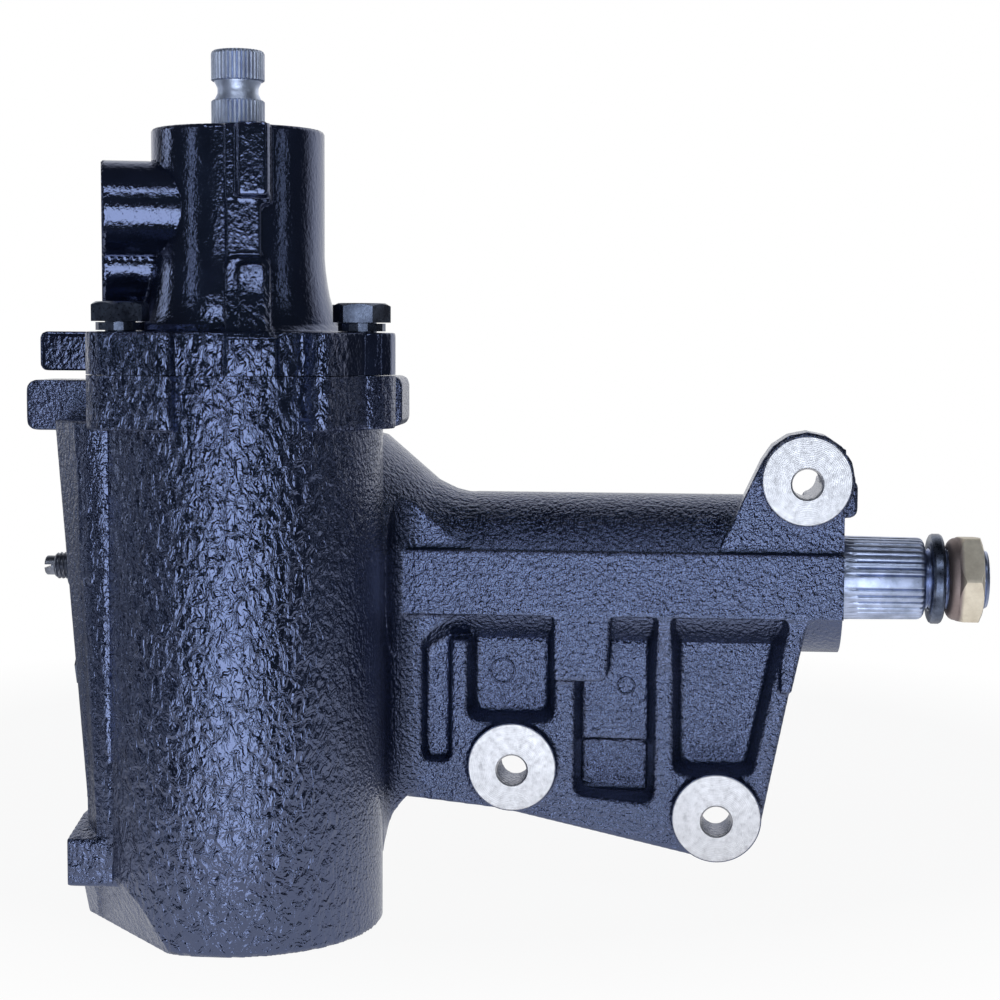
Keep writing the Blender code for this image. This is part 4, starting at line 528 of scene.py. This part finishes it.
def cast_paint(name, lump, grain, rough_low, rough_high, lumpy_y, grainy_y):
    """Gloss black paint over a sand-cast skin: runs on the front, a fine grain behind."""
    material, tree, shader = new_material(name, IOR=1.85, Specular_IOR_Level=1.0, Specular_Tint=PAINT_TINT)
    place = object_place(tree)
    tone = noise(tree, place, scale=70.0, detail=6.0)
    tree.links.new(ramp(tree, tone, PAINT_TONES), shader.inputs["Base Color"])
    matt = noise(tree, place, scale=210.0, detail=6.0, roughness=0.62)
    tree.links.new(spread(tree, matt, rough_low, rough_high), shader.inputs["Roughness"])
    depth = parts_of(tree, place)["Y"]
    drawn = add(tree, "ShaderNodeVectorMath", operation="MULTIPLY")
    drawn.inputs[1].default_value = LUMP_STRETCH
    tree.links.new(place, drawn.inputs[0])
    runs = noise(tree, drawn.outputs["Vector"], scale=330.0, detail=3.0, roughness=0.5, distortion=0.9)
    lumps = bump(tree, runs, lump)
    fine = bump(tree, noise(tree, place, scale=720.0, detail=2.5, roughness=0.55), grain, under=lumps)
    tree.links.new(spread(tree, depth, *LUMP_SHARES, lumpy_y, grainy_y), lumps.node.inputs["Strength"])
    tree.links.new(spread(tree, depth, *GRAIN_SHARES, lumpy_y, grainy_y), fine.node.inputs["Strength"])
    tree.links.new(fine, shader.inputs["Normal"])
    return material


def machined_face():
    """A faced cast-iron pad: bright, with turning marks around its hole and dull mottles."""
    material, tree, shader = new_material("machined_face", Metallic=1.0, Roughness=0.3)
    place = object_place(tree)
    parts = parts_of(tree, place)
    flat = tree.nodes.new("ShaderNodeCombineXYZ")
    tree.links.new(parts["X"], flat.inputs["X"])
    tree.links.new(parts["Z"], flat.inputs["Y"])
    reach = add(tree, "ShaderNodeVectorMath", operation="LENGTH")
    tree.links.new(flat.outputs["Vector"], reach.inputs[0])
    shift = add(tree, "ShaderNodeMath", operation="MULTIPLY_ADD")
    tree.links.new(noise(tree, place, scale=130.0, detail=2.0), shift.inputs[0])
    shift.inputs[1].default_value = 0.0010
    tree.links.new(reach.outputs["Value"], shift.inputs[2])
    turns = combined(tree, "MULTIPLY", shift.outputs["Value"], 2.0 * math.pi / FACED_MARK_PITCH)
    rings = add(tree, "ShaderNodeMath", operation="SINE")
    tree.links.new(turns, rings.inputs[0])
    mottle = noise(tree, place, scale=420.0, detail=5.0, roughness=0.65)
    tree.links.new(ramp(tree, mottle, FACED_TONES), shader.inputs["Base Color"])
    tree.links.new(spread(tree, mottle, 0.52, 0.38), shader.inputs["Roughness"])
    marks = bump(tree, rings.outputs["Value"], distance=0.000012, strength=0.8)
    pits = bump(tree, mottle, distance=0.00005, strength=0.7, under=marks)
    tree.links.new(pits, shader.inputs["Normal"])
    return material


def steel(name, dark, light, rough, grain_scale, grain):
    """Bare or plated metal with fine grain and slow stains."""
    material, tree, shader = new_material(name, Metallic=1.0, Roughness=rough)
    place = object_place(tree)
    stain = noise(tree, place, scale=160.0, detail=5.0, roughness=0.6)
    tree.links.new(ramp(tree, stain, ((0.34, dark), (0.64, light))), shader.inputs["Base Color"])
    fine = noise(tree, place, grain_scale, detail=4.0, roughness=0.6)
    tree.links.new(spread(tree, fine, rough - 0.07, rough + 0.10), shader.inputs["Roughness"])
    tree.links.new(bump(tree, fine, grain, strength=0.8), shader.inputs["Normal"])
    return material


def dull(name, dark, light, rough):
    """Rubber or plastic with a faint grain."""
    material, tree, shader = new_material(name, Roughness=rough)
    tone = noise(tree, object_place(tree), scale=500.0)
    tree.links.new(ramp(tree, tone, ((0.35, dark), (0.65, light))), shader.inputs["Base Color"])
    tree.links.new(spread(tree, tone, rough - 0.08, rough + 0.08), shader.inputs["Roughness"])
    tree.links.new(bump(tree, tone, distance=0.00004, strength=0.7), shader.inputs["Normal"])
    return material


def darken_nut_cone(material):
    """Make the nut dark on the cone under its flats, blending into the plating above it."""
    tree = material.node_tree
    base = tree.nodes["Principled BSDF"].inputs["Base Color"]
    plated = base.links[0].from_socket
    mix = add(tree, "ShaderNodeMix", data_type="RGBA")
    length = parts_of(tree, object_place(tree))["X"]
    tree.links.new(spread(tree, length, 0.0, 1.0, *NUT_CONE_FADE), mix.inputs["Factor"])
    mix.inputs[MIX_FIRST].default_value = NUT_CONE_COLOUR
    tree.links.new(plated, mix.inputs[MIX_SECOND])
    tree.links.new(mix.outputs[MIX_RESULT], base)


MACHINED = machined_face()
MATERIALS = {name: cast_paint(name, *values) for name, values in CASTINGS.items()}
MATERIALS.update({name: steel(name, *values) for name, values in METALS.items()})
MATERIALS.update({name: dull(name, *values) for name, values in DULLS.items()})
darken_nut_cone(MATERIALS["zinc_yellow"])


# Castings

def snap_turned(points, axis, centre, profile, reach, turn=0.0):
    """Put the points near a turned surface, its profile given as (height, radius), exactly on it."""
    if turn:
        spin = np.array([[math.cos(turn), math.sin(turn), 0.0],
                         [-math.sin(turn), math.cos(turn), 0.0],
                         [0.0, 0.0, 1.0]])
        points[:] = points @ spin.T
    u, v, h = {"X": (1, 2, 0), "Y": (0, 2, 1), "Z": (0, 1, 2)}[axis]
    heights = np.array([p[0] for p in profile])
    radii = np.array([p[1] for p in profile])
    du = points[:, u] - centre[0]
    dv = points[:, v] - centre[1]
    far = np.hypot(du, dv) + 1e-12
    gap = far - np.interp(points[:, h], heights, radii)
    near = (np.abs(gap) < reach) & (points[:, h] > heights[0]) & (points[:, h] < heights[-1])
    gap = np.where(near, gap, 0.0)
    points[:, u] -= gap * du / far
    points[:, v] -= gap * dv / far
    if turn:
        points[:] = points @ spin


def snap_flat(points, axis, level, reach, turn=None):
    """Put the points that lie near a plane exactly on it; a turn gives its normal in the XY plane."""
    normal = np.zeros(3)
    if turn is None:
        normal["XYZ".index(axis)] = 1.0
    else:
        normal[:2] = (math.cos(turn), math.sin(turn))
    gap = points @ normal - level
    near = np.abs(gap) < reach
    points[near] -= np.outer(gap[near], normal)


def trimmed(mesh, axis, level, side):
    """Cut a mesh off at a plane and close it with a flat face."""
    shape = bmesh.new()
    shape.from_mesh(mesh)
    bmesh.ops.triangle_fill(shape, edges=cut(shape, axis, level, side), use_beauty=True)
    bmesh.ops.recalc_face_normals(shape, faces=shape.faces)
    shape.to_mesh(mesh)
    shape.free()


def cast_skin(node, rounds, flats, trim=None):
    """A casting's mesh with soft edges, its round and flat faces put back exactly.

    A face that has to keep its crisp edge is pushed out first and trimmed back at the end.
    """
    source = frame["nodes"][node].data.copy()
    if trim:
        axis, level, side = trim
        index = "XYZ".index(axis)
        for vertex in source.vertices:
            if abs(vertex.co[index] - level) < TOUCH:
                vertex.co[index] += side * OVERRUN
    skin = linked(node + "_skin", source)
    remesh = skin.modifiers.new("Remesh", "REMESH")
    remesh.mode = "VOXEL"
    remesh.voxel_size = VOXEL
    soften = skin.modifiers.new("Soften", "SMOOTH")
    soften.factor = 0.5
    soften.iterations = SOFTEN_STEPS
    mesh = bpy.data.meshes.new_from_object(skin.evaluated_get(bpy.context.evaluated_depsgraph_get()))
    skin.modifiers.clear()
    skin.data = mesh
    points = np.zeros(len(mesh.vertices) * 3)
    mesh.vertices.foreach_get("co", points)
    points = points.reshape(-1, 3)
    for entry in rounds:
        snap_turned(points, *entry)
    for entry in flats:
        snap_flat(points, *entry)
    mesh.vertices.foreach_set("co", points.reshape(-1))
    mesh.update()
    if trim:
        trimmed(mesh, *trim)
    return skin


def gear_housing():
    """The gear housing: its case, chamber, taper, tube and pads are round, its ends flat."""
    tube = (SECTOR_Y, SECTOR_Z + TUBE_RISE)
    chamber_end = (CHAMBER_RIGHT, CHAMBER_R - 0.0012)
    taper_x = CHAMBER_RIGHT + CHAMBER_TAPER * (CHAMBER_R - TUBE_SHOULDER_R)
    chamber = [(COVER_X + 0.0080, CHAMBER_R - 0.0030), (CHAMBER_RIGHT - 0.0050, CHAMBER_R), chamber_end]
    rounds = [("Z", WORM, [(0.0010, CASE_R), (CASE_H + OVERRUN, CASE_R)], SNAP_REACH),
              ("X", tube, chamber, SNAP_REACH),
              ("X", tube, [chamber_end, (taper_x, TUBE_SHOULDER_R)], SNAP_REACH),
              ("X", tube, [(TUBE_START, TUBE_R), (TUBE_END + 0.001, TUBE_R)], EDGE_REACH)]
    for x, z in FRAME_HOLES:
        pad = [(PAD_Y - 0.001, PAD_R), (PAD_Y + 0.0036, PAD_R)]
        rounds.append(("Y", (x, z + PAD_RISE), pad, EDGE_REACH))
    flats = [("Z", 0.0, SNAP_REACH), ("X", TUBE_END, EDGE_REACH), ("X", COVER_X, SNAP_REACH)]
    gear = cast_skin("gear_housing", rounds, flats, ("Z", CASE_H, CUT_ABOVE))
    finish(gear, MATERIALS["black_cast"], "housing", sharp=50.0)
    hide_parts("gear_housing")


def valve_housing():
    """The valve housing: its flared barrel and port bosses are round, and its spigot is turned."""
    flange_top = VALVE_LOW + VALVE_FLANGE_T
    flare = [(flange_top + rise, VALVE_R + growth) for rise, growth in VALVE_FLARE]
    rounds = [("Z", WORM, flare + [(VALVE_TOP - 0.0008, VALVE_R)], SNAP_REACH)]
    for place, radius in ((PRESSURE_PORT, PRESSURE_BOSS_R), (RETURN_PORT, RETURN_BOSS_R)):
        boss = [(PORT_FACE_X + 0.0006, radius), (PORT_ROOT_X, radius)]
        rounds.append(("X", place, boss, SNAP_REACH, PORT_TURN))
    flats = [("Z", VALVE_TOP, SNAP_REACH), ("X", -PORT_FACE_X, SNAP_REACH, math.pi + PORT_TURN)]
    valve = cast_skin("valve_housing", rounds, flats, ("Z", VALVE_LOW, CUT_BELOW))

    low = VALVE_LOW - SPIGOT_LEN
    high = VALVE_LOW + 0.0004
    groove_low = 0.5 * (low + VALVE_LOW) - SPIGOT_GROOVE_HALF
    groove_high = 0.5 * (low + VALVE_LOW) + SPIGOT_GROOVE_HALF
    profile = [(low, SPIGOT_BORE_R), (low, SPIGOT_R), (groove_low, SPIGOT_R),
               (groove_low, SPIGOT_GROOVE_R), (groove_high, SPIGOT_GROOVE_R), (groove_high, SPIGOT_R),
               (high, SPIGOT_R), (high, SPIGOT_BORE_R)]
    spigot = lathe("spigot", "Z", WORM, profile, count=64, ends="looped")
    whole = joined("valve_housing_skin", [valve, spigot])
    finish(whole, MATERIALS["smooth_cast"], "housing", sharp=50.0)
    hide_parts("valve_housing")


def side_cover():
    """The side cover, its joint face flat."""
    cover = cast_skin("side_cover", [], [("X", COVER_X - 0.0003, SNAP_REACH)])
    finish(cover, MATERIALS["black_cast"], "housing", sharp=50.0)
    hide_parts("side_cover")


def casting_marks():
    """The two small round marks on the pocket floors."""
    for index, (x, z, radius, floor) in enumerate(MARKS):
        profile = [(floor + off, radius + out) for off, out in MARK_SECTION]
        mark = lathe("casting_mark_%d" % (index + 1), "Y", (x, z), profile, count=48, ends="looped")
        finish(mark, MATERIALS["black_cast"], "housing", sharp=80.0)


def pad_faces():
    """The machined faces of the three frame pads, each a crisp ring in a painted collar."""
    hole_r = HOLE_R - 0.00002
    rim_r = PAD_R - 0.0001
    inner_r = PAD_R - 0.0004
    outer_r = PAD_R + 0.00006
    edges = ((hole_r, PAD_FRONT + 0.0060, 0.0), (hole_r, PAD_FRONT + 0.0006, 0.0),
             (HOLE_R + 0.0006, PAD_FRONT, 0.0), (PAD_R - 0.0005, PAD_FRONT, PAD_RISE),
             (rim_r, PAD_FRONT + 0.0004, PAD_RISE), (rim_r, PAD_FRONT + 0.0012, PAD_RISE))
    section = [(PAD_Y + 0.0040, inner_r), (PAD_Y + 0.0001, inner_r), (PAD_Y + 0.0001, PAD_R - 0.00012),
               (PAD_Y + 0.0003, outer_r), (PAD_Y + 0.0040, outer_r)]
    for index, (x, z) in enumerate(FRAME_HOLES):
        rows = [plain_ring("Y", (0.0, rise), radius, y, RING_COUNT) for radius, y, rise in edges]
        face = solid("pad_face_%d" % (index + 1), rows, "open")
        face.location = (x, 0.0, z)
        finish(face, MACHINED, "housing", sharp=25.0)
        collar = lathe("pad_collar_%d" % (index + 1), "Y", (x, z + PAD_RISE), section, ends="looped")
        finish(collar, MATERIALS["black_cast"], "housing", sharp=40.0)


# Shafts and fasteners

def pitman_end():
    """The sector shaft with its splines, neck and threaded end in full detail."""
    inner = cad_part("inner", "sector_shaft", "X", TUBE_END - 0.0080, CUT_ABOVE)
    neck = lathe("neck", "X", SECTOR, [(TUBE_END - 0.0090, SEAL_LAND_R), (TUBE_END - 0.0062, SEAL_LAND_R),
                                       (TUBE_END - 0.0050, SPLINE_R), (SPLINE_START, SPLINE_R)])
    end = SPLINE_END - 0.0001
    stations = ((SPLINE_START - 0.0004, 0.0, 0.0), (SPLINE_START, 0.02, 0.0),
                (SPLINE_START + 0.0012, 0.35, 0.0), (SPLINE_START + 0.0030, 0.80, 0.0001),
                (SPLINE_START + 0.0050, 1.0, 0.0001), (end - 0.0020, 1.0, 0.0004),
                (end - 0.0012, 1.0, 0.0006), (end - 0.0005, 1.0, 0.0011), (end, 0.6, 0.0019))
    teeth = splines("teeth", "X", SECTOR, SPLINE_TEETH, SPLINE_ROOT_R, SPLINE_R, stations,
                    SPLINE_FLANK, SPLINE_MASTERS)
    core = lathe("core", "X", SECTOR, [(SPLINE_END - 0.002, SPLINE_CORE_R), (end, SPLINE_CORE_R),
                                       (SPLINE_END, THREAD_R), (SPLINE_END + 0.001, THREAD_R - 0.0006)])
    screw = thread("screw", "X", SECTOR, THREAD_R, THREAD_DEPTH, SPLINE_END, SHAFT_END, lead_in=0.0014)
    whole = joined("sector_shaft_fine", [inner, neck, teeth, core, screw])
    finish(whole, MATERIALS["ground_steel"], "sector", sharp=28.0)
    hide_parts("sector_shaft")


def pitman_nut():
    """The nut: a round cone that runs into the hexagon, and turned-off corners at its end."""
    side = hex_radius(NUT_AF, NUT_SPIN)
    high = NUT_LOW + NUT_H
    cone_rise, cone_r = NUT_CONE[-1]

    def cone_height(radius):
        return NUT_LOW + cone_rise + (radius - cone_r) * NUT_CONE_SLOPE

    def corner_height(radius):
        return high - max(0.0, radius - NUT_CORNER_R) * NUT_CORNER_SLOPE

    rows = [plain_ring("X", SECTOR, NUT_HOLE_R, NUT_LOW + 0.0008, HEX_COUNT)]
    rows += [plain_ring("X", SECTOR, radius, NUT_LOW + rise, HEX_COUNT) for rise, radius in NUT_CONE]
    rows += [ring_points("X", SECTOR, side, height, HEX_COUNT) for height in (cone_height, corner_height)]
    rows += [plain_ring("X", SECTOR, NUT_FACE_R, high, HEX_COUNT),
             plain_ring("X", SECTOR, NUT_HOLE_R + 0.0012, high, HEX_COUNT),
             plain_ring("X", SECTOR, NUT_HOLE_R, high - 0.0010, HEX_COUNT)]
    nut = solid("pitman_nut_fine", rows, "looped")
    finish(nut, MATERIALS["zinc_yellow"], "sector", sharp=24.0)
    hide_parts("pitman_nut")


def pitman_washer():
    """The spring washer with its rounded rim, split at the back."""
    low = WASHER_LOW
    high = low + WASHER_T
    bore = WASHER_BORE_R
    profile = [(low, bore + 0.0004), (low, WASHER_R - 0.0013), (low + 0.0004, WASHER_R - 0.0005),
               (low + 0.0012, WASHER_R), (high - 0.0012, WASHER_R), (high - 0.0004, WASHER_R - 0.0005),
               (high, WASHER_R - 0.0013), (high, bore + 0.0004), (high - 0.0004, bore),
               (low + 0.0004, bore)]
    half = 0.5 * WASHER_GAP / WASHER_R
    washer = open_ring("pitman_washer_fine", "X", SECTOR, profile, start=WASHER_GAP_ANGLE + half,
                       sweep=2.0 * (math.pi - half), count=120)
    finish(washer, MATERIALS["black_steel"], "sector", sharp=30.0)
    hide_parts("pitman_lock_washer")


def input_end():
    """The input shaft with its two splined lands and the waist between them."""
    inner = cad_part("inner", "input_shaft", "Z", VALVE_TOP - 0.0040, CUT_ABOVE)
    fillet_r = INPUT_NECK_R + 0.0008
    body = lathe("body", "Z", WORM, [
        (VALVE_TOP - 0.0045, INPUT_SEAT_R), (VALVE_TOP - 0.0002, INPUT_SEAT_R),
        (VALVE_TOP + 0.0006, INPUT_R + 0.0001), (INPUT_LAND_LOW - 0.0003, INPUT_R),
        (INPUT_LAND_LOW, INPUT_ROOT_R), (INPUT_NECK_LOW - 0.0004, INPUT_ROOT_R),
        (INPUT_NECK_LOW + 0.0006, fillet_r), (INPUT_NECK_LOW + 0.0022, INPUT_NECK_R),
        (INPUT_NECK_TOP - 0.0022, INPUT_NECK_R), (INPUT_NECK_TOP - 0.0006, fillet_r),
        (INPUT_NECK_TOP + 0.0004, INPUT_ROOT_R), (INPUT_TOP - 0.0002, INPUT_ROOT_R),
        (INPUT_TOP, INPUT_ROOT_R - 0.0004)])
    lower = ((INPUT_LAND_LOW - 0.0001, 1.0, 0.0), (INPUT_NECK_LOW - 0.0005, 1.0, 0.0),
             (INPUT_NECK_LOW, 1.0, 0.0005))
    upper = ((INPUT_NECK_TOP, 1.0, 0.0005), (INPUT_NECK_TOP + 0.0004, 1.0, 0.0),
             (INPUT_TOP - 0.0012, 1.0, 0.0), (INPUT_TOP - 0.0005, 1.0, 0.0003),
             (INPUT_TOP - 0.0001, 1.0, 0.0008))
    lands = [splines(name, "Z", WORM, INPUT_TEETH, INPUT_ROOT_R, INPUT_R, stations, INPUT_FLANK)
             for name, stations in (("lower", lower), ("upper", upper))]
    whole = joined("input_shaft_fine", [inner, body] + lands)
    # The lighter copy of the ground steel paints light onto the input shaft
    finish(whole, MATERIALS["input_steel_painted_light"], "input", sharp=28.0)
    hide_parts("input_shaft")


def joint_bolts():
    """Hexagon heads with turned-off corners in place of the plain ones."""
    for index in range(4):
        name = "valve_housing_bolt_%d" % (index + 1)
        low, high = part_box(name)
        centre = (0.5 * (low.x + high.x), 0.5 * (low.y + high.y))
        seat = high.z - BOLT_HEAD_H
        spin = 0.0 if index % 2 else math.pi / 6.0
        head = hexagon("head", "Z", centre, BOLT_AF, seat, high.z, spin)
        profile = [(low.z, BOLT_SHANK_R - 0.0010), (low.z + 0.001, BOLT_SHANK_R),
                   (seat + 0.001, BOLT_SHANK_R)]
        shank = lathe("shank", "Z", centre, profile, count=32)
        bolt = joined(name + "_fine", [head, shank])
        finish(bolt, MATERIALS["black_steel"], "housing", sharp=20.0)
        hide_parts(name)


def slotted_point(name, centre, low, high, radius, slot, depth):
    """A plain round point with a screwdriver slot across its end."""
    shape = bmesh.new()
    count = 32
    half = 0.5 * slot
    floor = low + depth
    start = math.asin(half / radius)
    for side in (1.0, -1.0):
        outline = []
        for i in range(count + 1):
            a = start + (math.pi - 2.0 * start) * i / count
            outline.append((radius * math.cos(a), side * radius * math.sin(a)))
        rows = []
        for h, k in ((floor, 1.0), (low + 0.0004, 1.0), (low, 0.90)):
            rows.append([turned("X", centre, k * u, max(k * abs(v), half) * side, h) for u, v in outline])
        grid_of(shape, rows)
    grid_of(shape, [plain_ring("X", centre, radius, h, 64) for h in (floor - TOUCH, high)])
    return add_object(name, shape)


def adjuster():
    """The adjuster screw with its thread and slotted point."""
    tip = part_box("adjuster_screw")[0].x
    point_end = tip + ADJUSTER_POINT_LEN
    inner = cad_part("inner", "adjuster_screw", "X", ADJUSTER_CUT, CUT_BELOW)
    screw = thread("screw", "X", SECTOR, ADJUSTER_R, ADJUSTER_THREAD_DEPTH, point_end - 0.0004,
                   ADJUSTER_THREAD_END, lead_in=0.0008)
    point = slotted_point("point", SECTOR, tip, point_end, ADJUSTER_POINT_R, ADJUSTER_SLOT,
                          ADJUSTER_SLOT_DEPTH)
    whole = joined("adjuster_screw_fine", [inner, screw, point])
    finish(whole, MATERIALS["dark_steel"], "housing", sharp=30.0)
    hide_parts("adjuster_screw")


def carried_nodes():
    """Materials for the CAD nodes that stay as they are."""
    slots = {entry["node"]: entry["material_slot"] for entry in frame["record"]["subparts"]}
    for name, node in frame["nodes"].items():
        node.data.materials.clear()
        node.data.materials.append(MATERIALS[slots[name]])


# Stage

def ray_share(tree, kinds):
    """One for the named kinds of ray and zero for the rest."""
    rays = tree.nodes.new("ShaderNodeLightPath")
    total = rays.outputs[kinds[0]]
    for kind in kinds[1:]:
        total = combined(tree, "MAXIMUM", total, rays.outputs[kind])
    return total


def blended(tree, share, first, second):
    """A shader that goes from the first to the second with a share."""
    mix = tree.nodes.new("ShaderNodeMixShader")
    tree.links.new(share, mix.inputs["Fac"])
    tree.links.new(first, mix.inputs[1])
    tree.links.new(second, mix.inputs[2])
    return mix.outputs["Shader"]


def distance_from(tree, centre):
    """How far the shaded point lies from a place in the scene."""
    length = add(tree, "ShaderNodeVectorMath", operation="DISTANCE")
    length.inputs[1].default_value = centre
    tree.links.new(tree.nodes.new("ShaderNodeNewGeometry").outputs["Position"], length.inputs[0])
    return length.outputs["Value"]


def fading(tree, kinds, centre, near_share, far_share, near, far):
    """A share for the named kinds of ray that changes with the distance from a place."""
    share = spread(tree, distance_from(tree, centre), near_share, far_share, near, far)
    return combined(tree, "MULTIPLY", ray_share(tree, kinds), share)


def white_floor():
    """A pale floor that keeps a faint shadow near the object and fades into the backdrop."""
    bpy.ops.mesh.primitive_plane_add(size=FLOOR_SIZE, location=FLOOR_PLACE)
    floor = bpy.context.object
    floor.name = "floor"
    material, tree, shader = new_material("floor_white", Roughness=0.9, Specular_IOR_Level=0.1,
                                          Base_Color=FLOOR_COLOUR)
    white = tree.nodes.new("ShaderNodeEmission")
    share = combined(tree, "MAXIMUM", fading(tree, SEEN_RAYS, *FLOOR_SEEN),
                     fading(tree, SHINE_RAYS, *FLOOR_SHINE))
    mixed = blended(tree, share, shader.outputs["BSDF"], white.outputs["Emission"])
    tree.links.new(mixed, tree.nodes["Material Output"].inputs["Surface"])
    floor.data.materials.append(material)


def white_world():
    """A white backdrop for the camera and for shine from behind, with a dim room in front."""
    world = bpy.data.worlds.new("studio")
    bpy.context.scene.world = world
    world.use_nodes = True
    tree = world.node_tree
    room = tree.nodes["Background"]
    room.inputs["Color"].default_value = ROOM_COLOUR
    glossy = ray_share(tree, SHINE_RAYS)
    tree.links.new(spread(tree, glossy, ROOM_LIGHT, ROOM_SHINE), room.inputs["Strength"])
    white = tree.nodes.new("ShaderNodeEmission")
    ahead = parts_of(tree, tree.nodes.new("ShaderNodeTexCoord").outputs["Generated"])["Y"]
    shine = combined(tree, "MULTIPLY", glossy, spread(tree, ahead, 0.0, 1.0, *ROOM_BEHIND))
    backdrop = blended(tree, shine, room.outputs["Background"], white.outputs["Emission"])
    mixed = blended(tree, ray_share(tree, SEEN_RAYS), backdrop, white.outputs["Emission"])
    tree.links.new(mixed, tree.nodes["World Output"].inputs["Surface"])


def add_lamp(name, place, target, width, height, watts):
    """A soft rectangular lamp that faces a point."""
    lamp = bpy.data.lights.new(name, "AREA")
    lamp.shape = "RECTANGLE"
    lamp.size = width
    lamp.size_y = height
    lamp.energy = watts
    lamp.color = LAMP_COLOUR
    holder = linked(name, lamp)
    holder.location = place
    aim = Vector(target) - Vector(place)
    holder.rotation_mode = "QUATERNION"
    holder.rotation_quaternion = aim.to_track_quat("-Z", "Y")


def add_camera():
    """The camera of the photograph."""
    camera = bpy.data.cameras.new("camera")
    camera.sensor_width = SENSOR_WIDTH
    camera.lens = FOCAL_PER_WIDTH * camera.sensor_width
    camera.clip_start = 0.01
    camera.clip_end = 20.0
    holder = linked("camera", camera)
    level = math.cos(CAMERA_PITCH)
    forward = Vector((-math.sin(CAMERA_YAW) * level, math.cos(CAMERA_YAW) * level,
                      -math.sin(CAMERA_PITCH)))
    right = Vector((math.cos(CAMERA_YAW), math.sin(CAMERA_YAW), 0.0))
    up = right.cross(forward)
    side = math.cos(CAMERA_ROLL) * right + math.sin(CAMERA_ROLL) * up
    top = -math.sin(CAMERA_ROLL) * right + math.cos(CAMERA_ROLL) * up
    turn = Matrix((side, top, -forward)).transposed().to_4x4()
    holder.matrix_world = Matrix.Translation(CAMERA_PLACE) @ turn
    bpy.context.scene.camera = holder


def stage():
    """White floor and surroundings, soft lamps and the camera."""
    white_floor()
    white_world()
    for lamp in LAMPS:
        add_lamp(*lamp)
    add_camera()
    bpy.context.scene.view_settings.view_transform = "Standard"


carried_nodes()
gear_housing()
valve_housing()
side_cover()
casting_marks()
pad_faces()
pitman_end()
pitman_nut()
pitman_washer()
input_end()
joint_bolts()
adjuster()
stage()
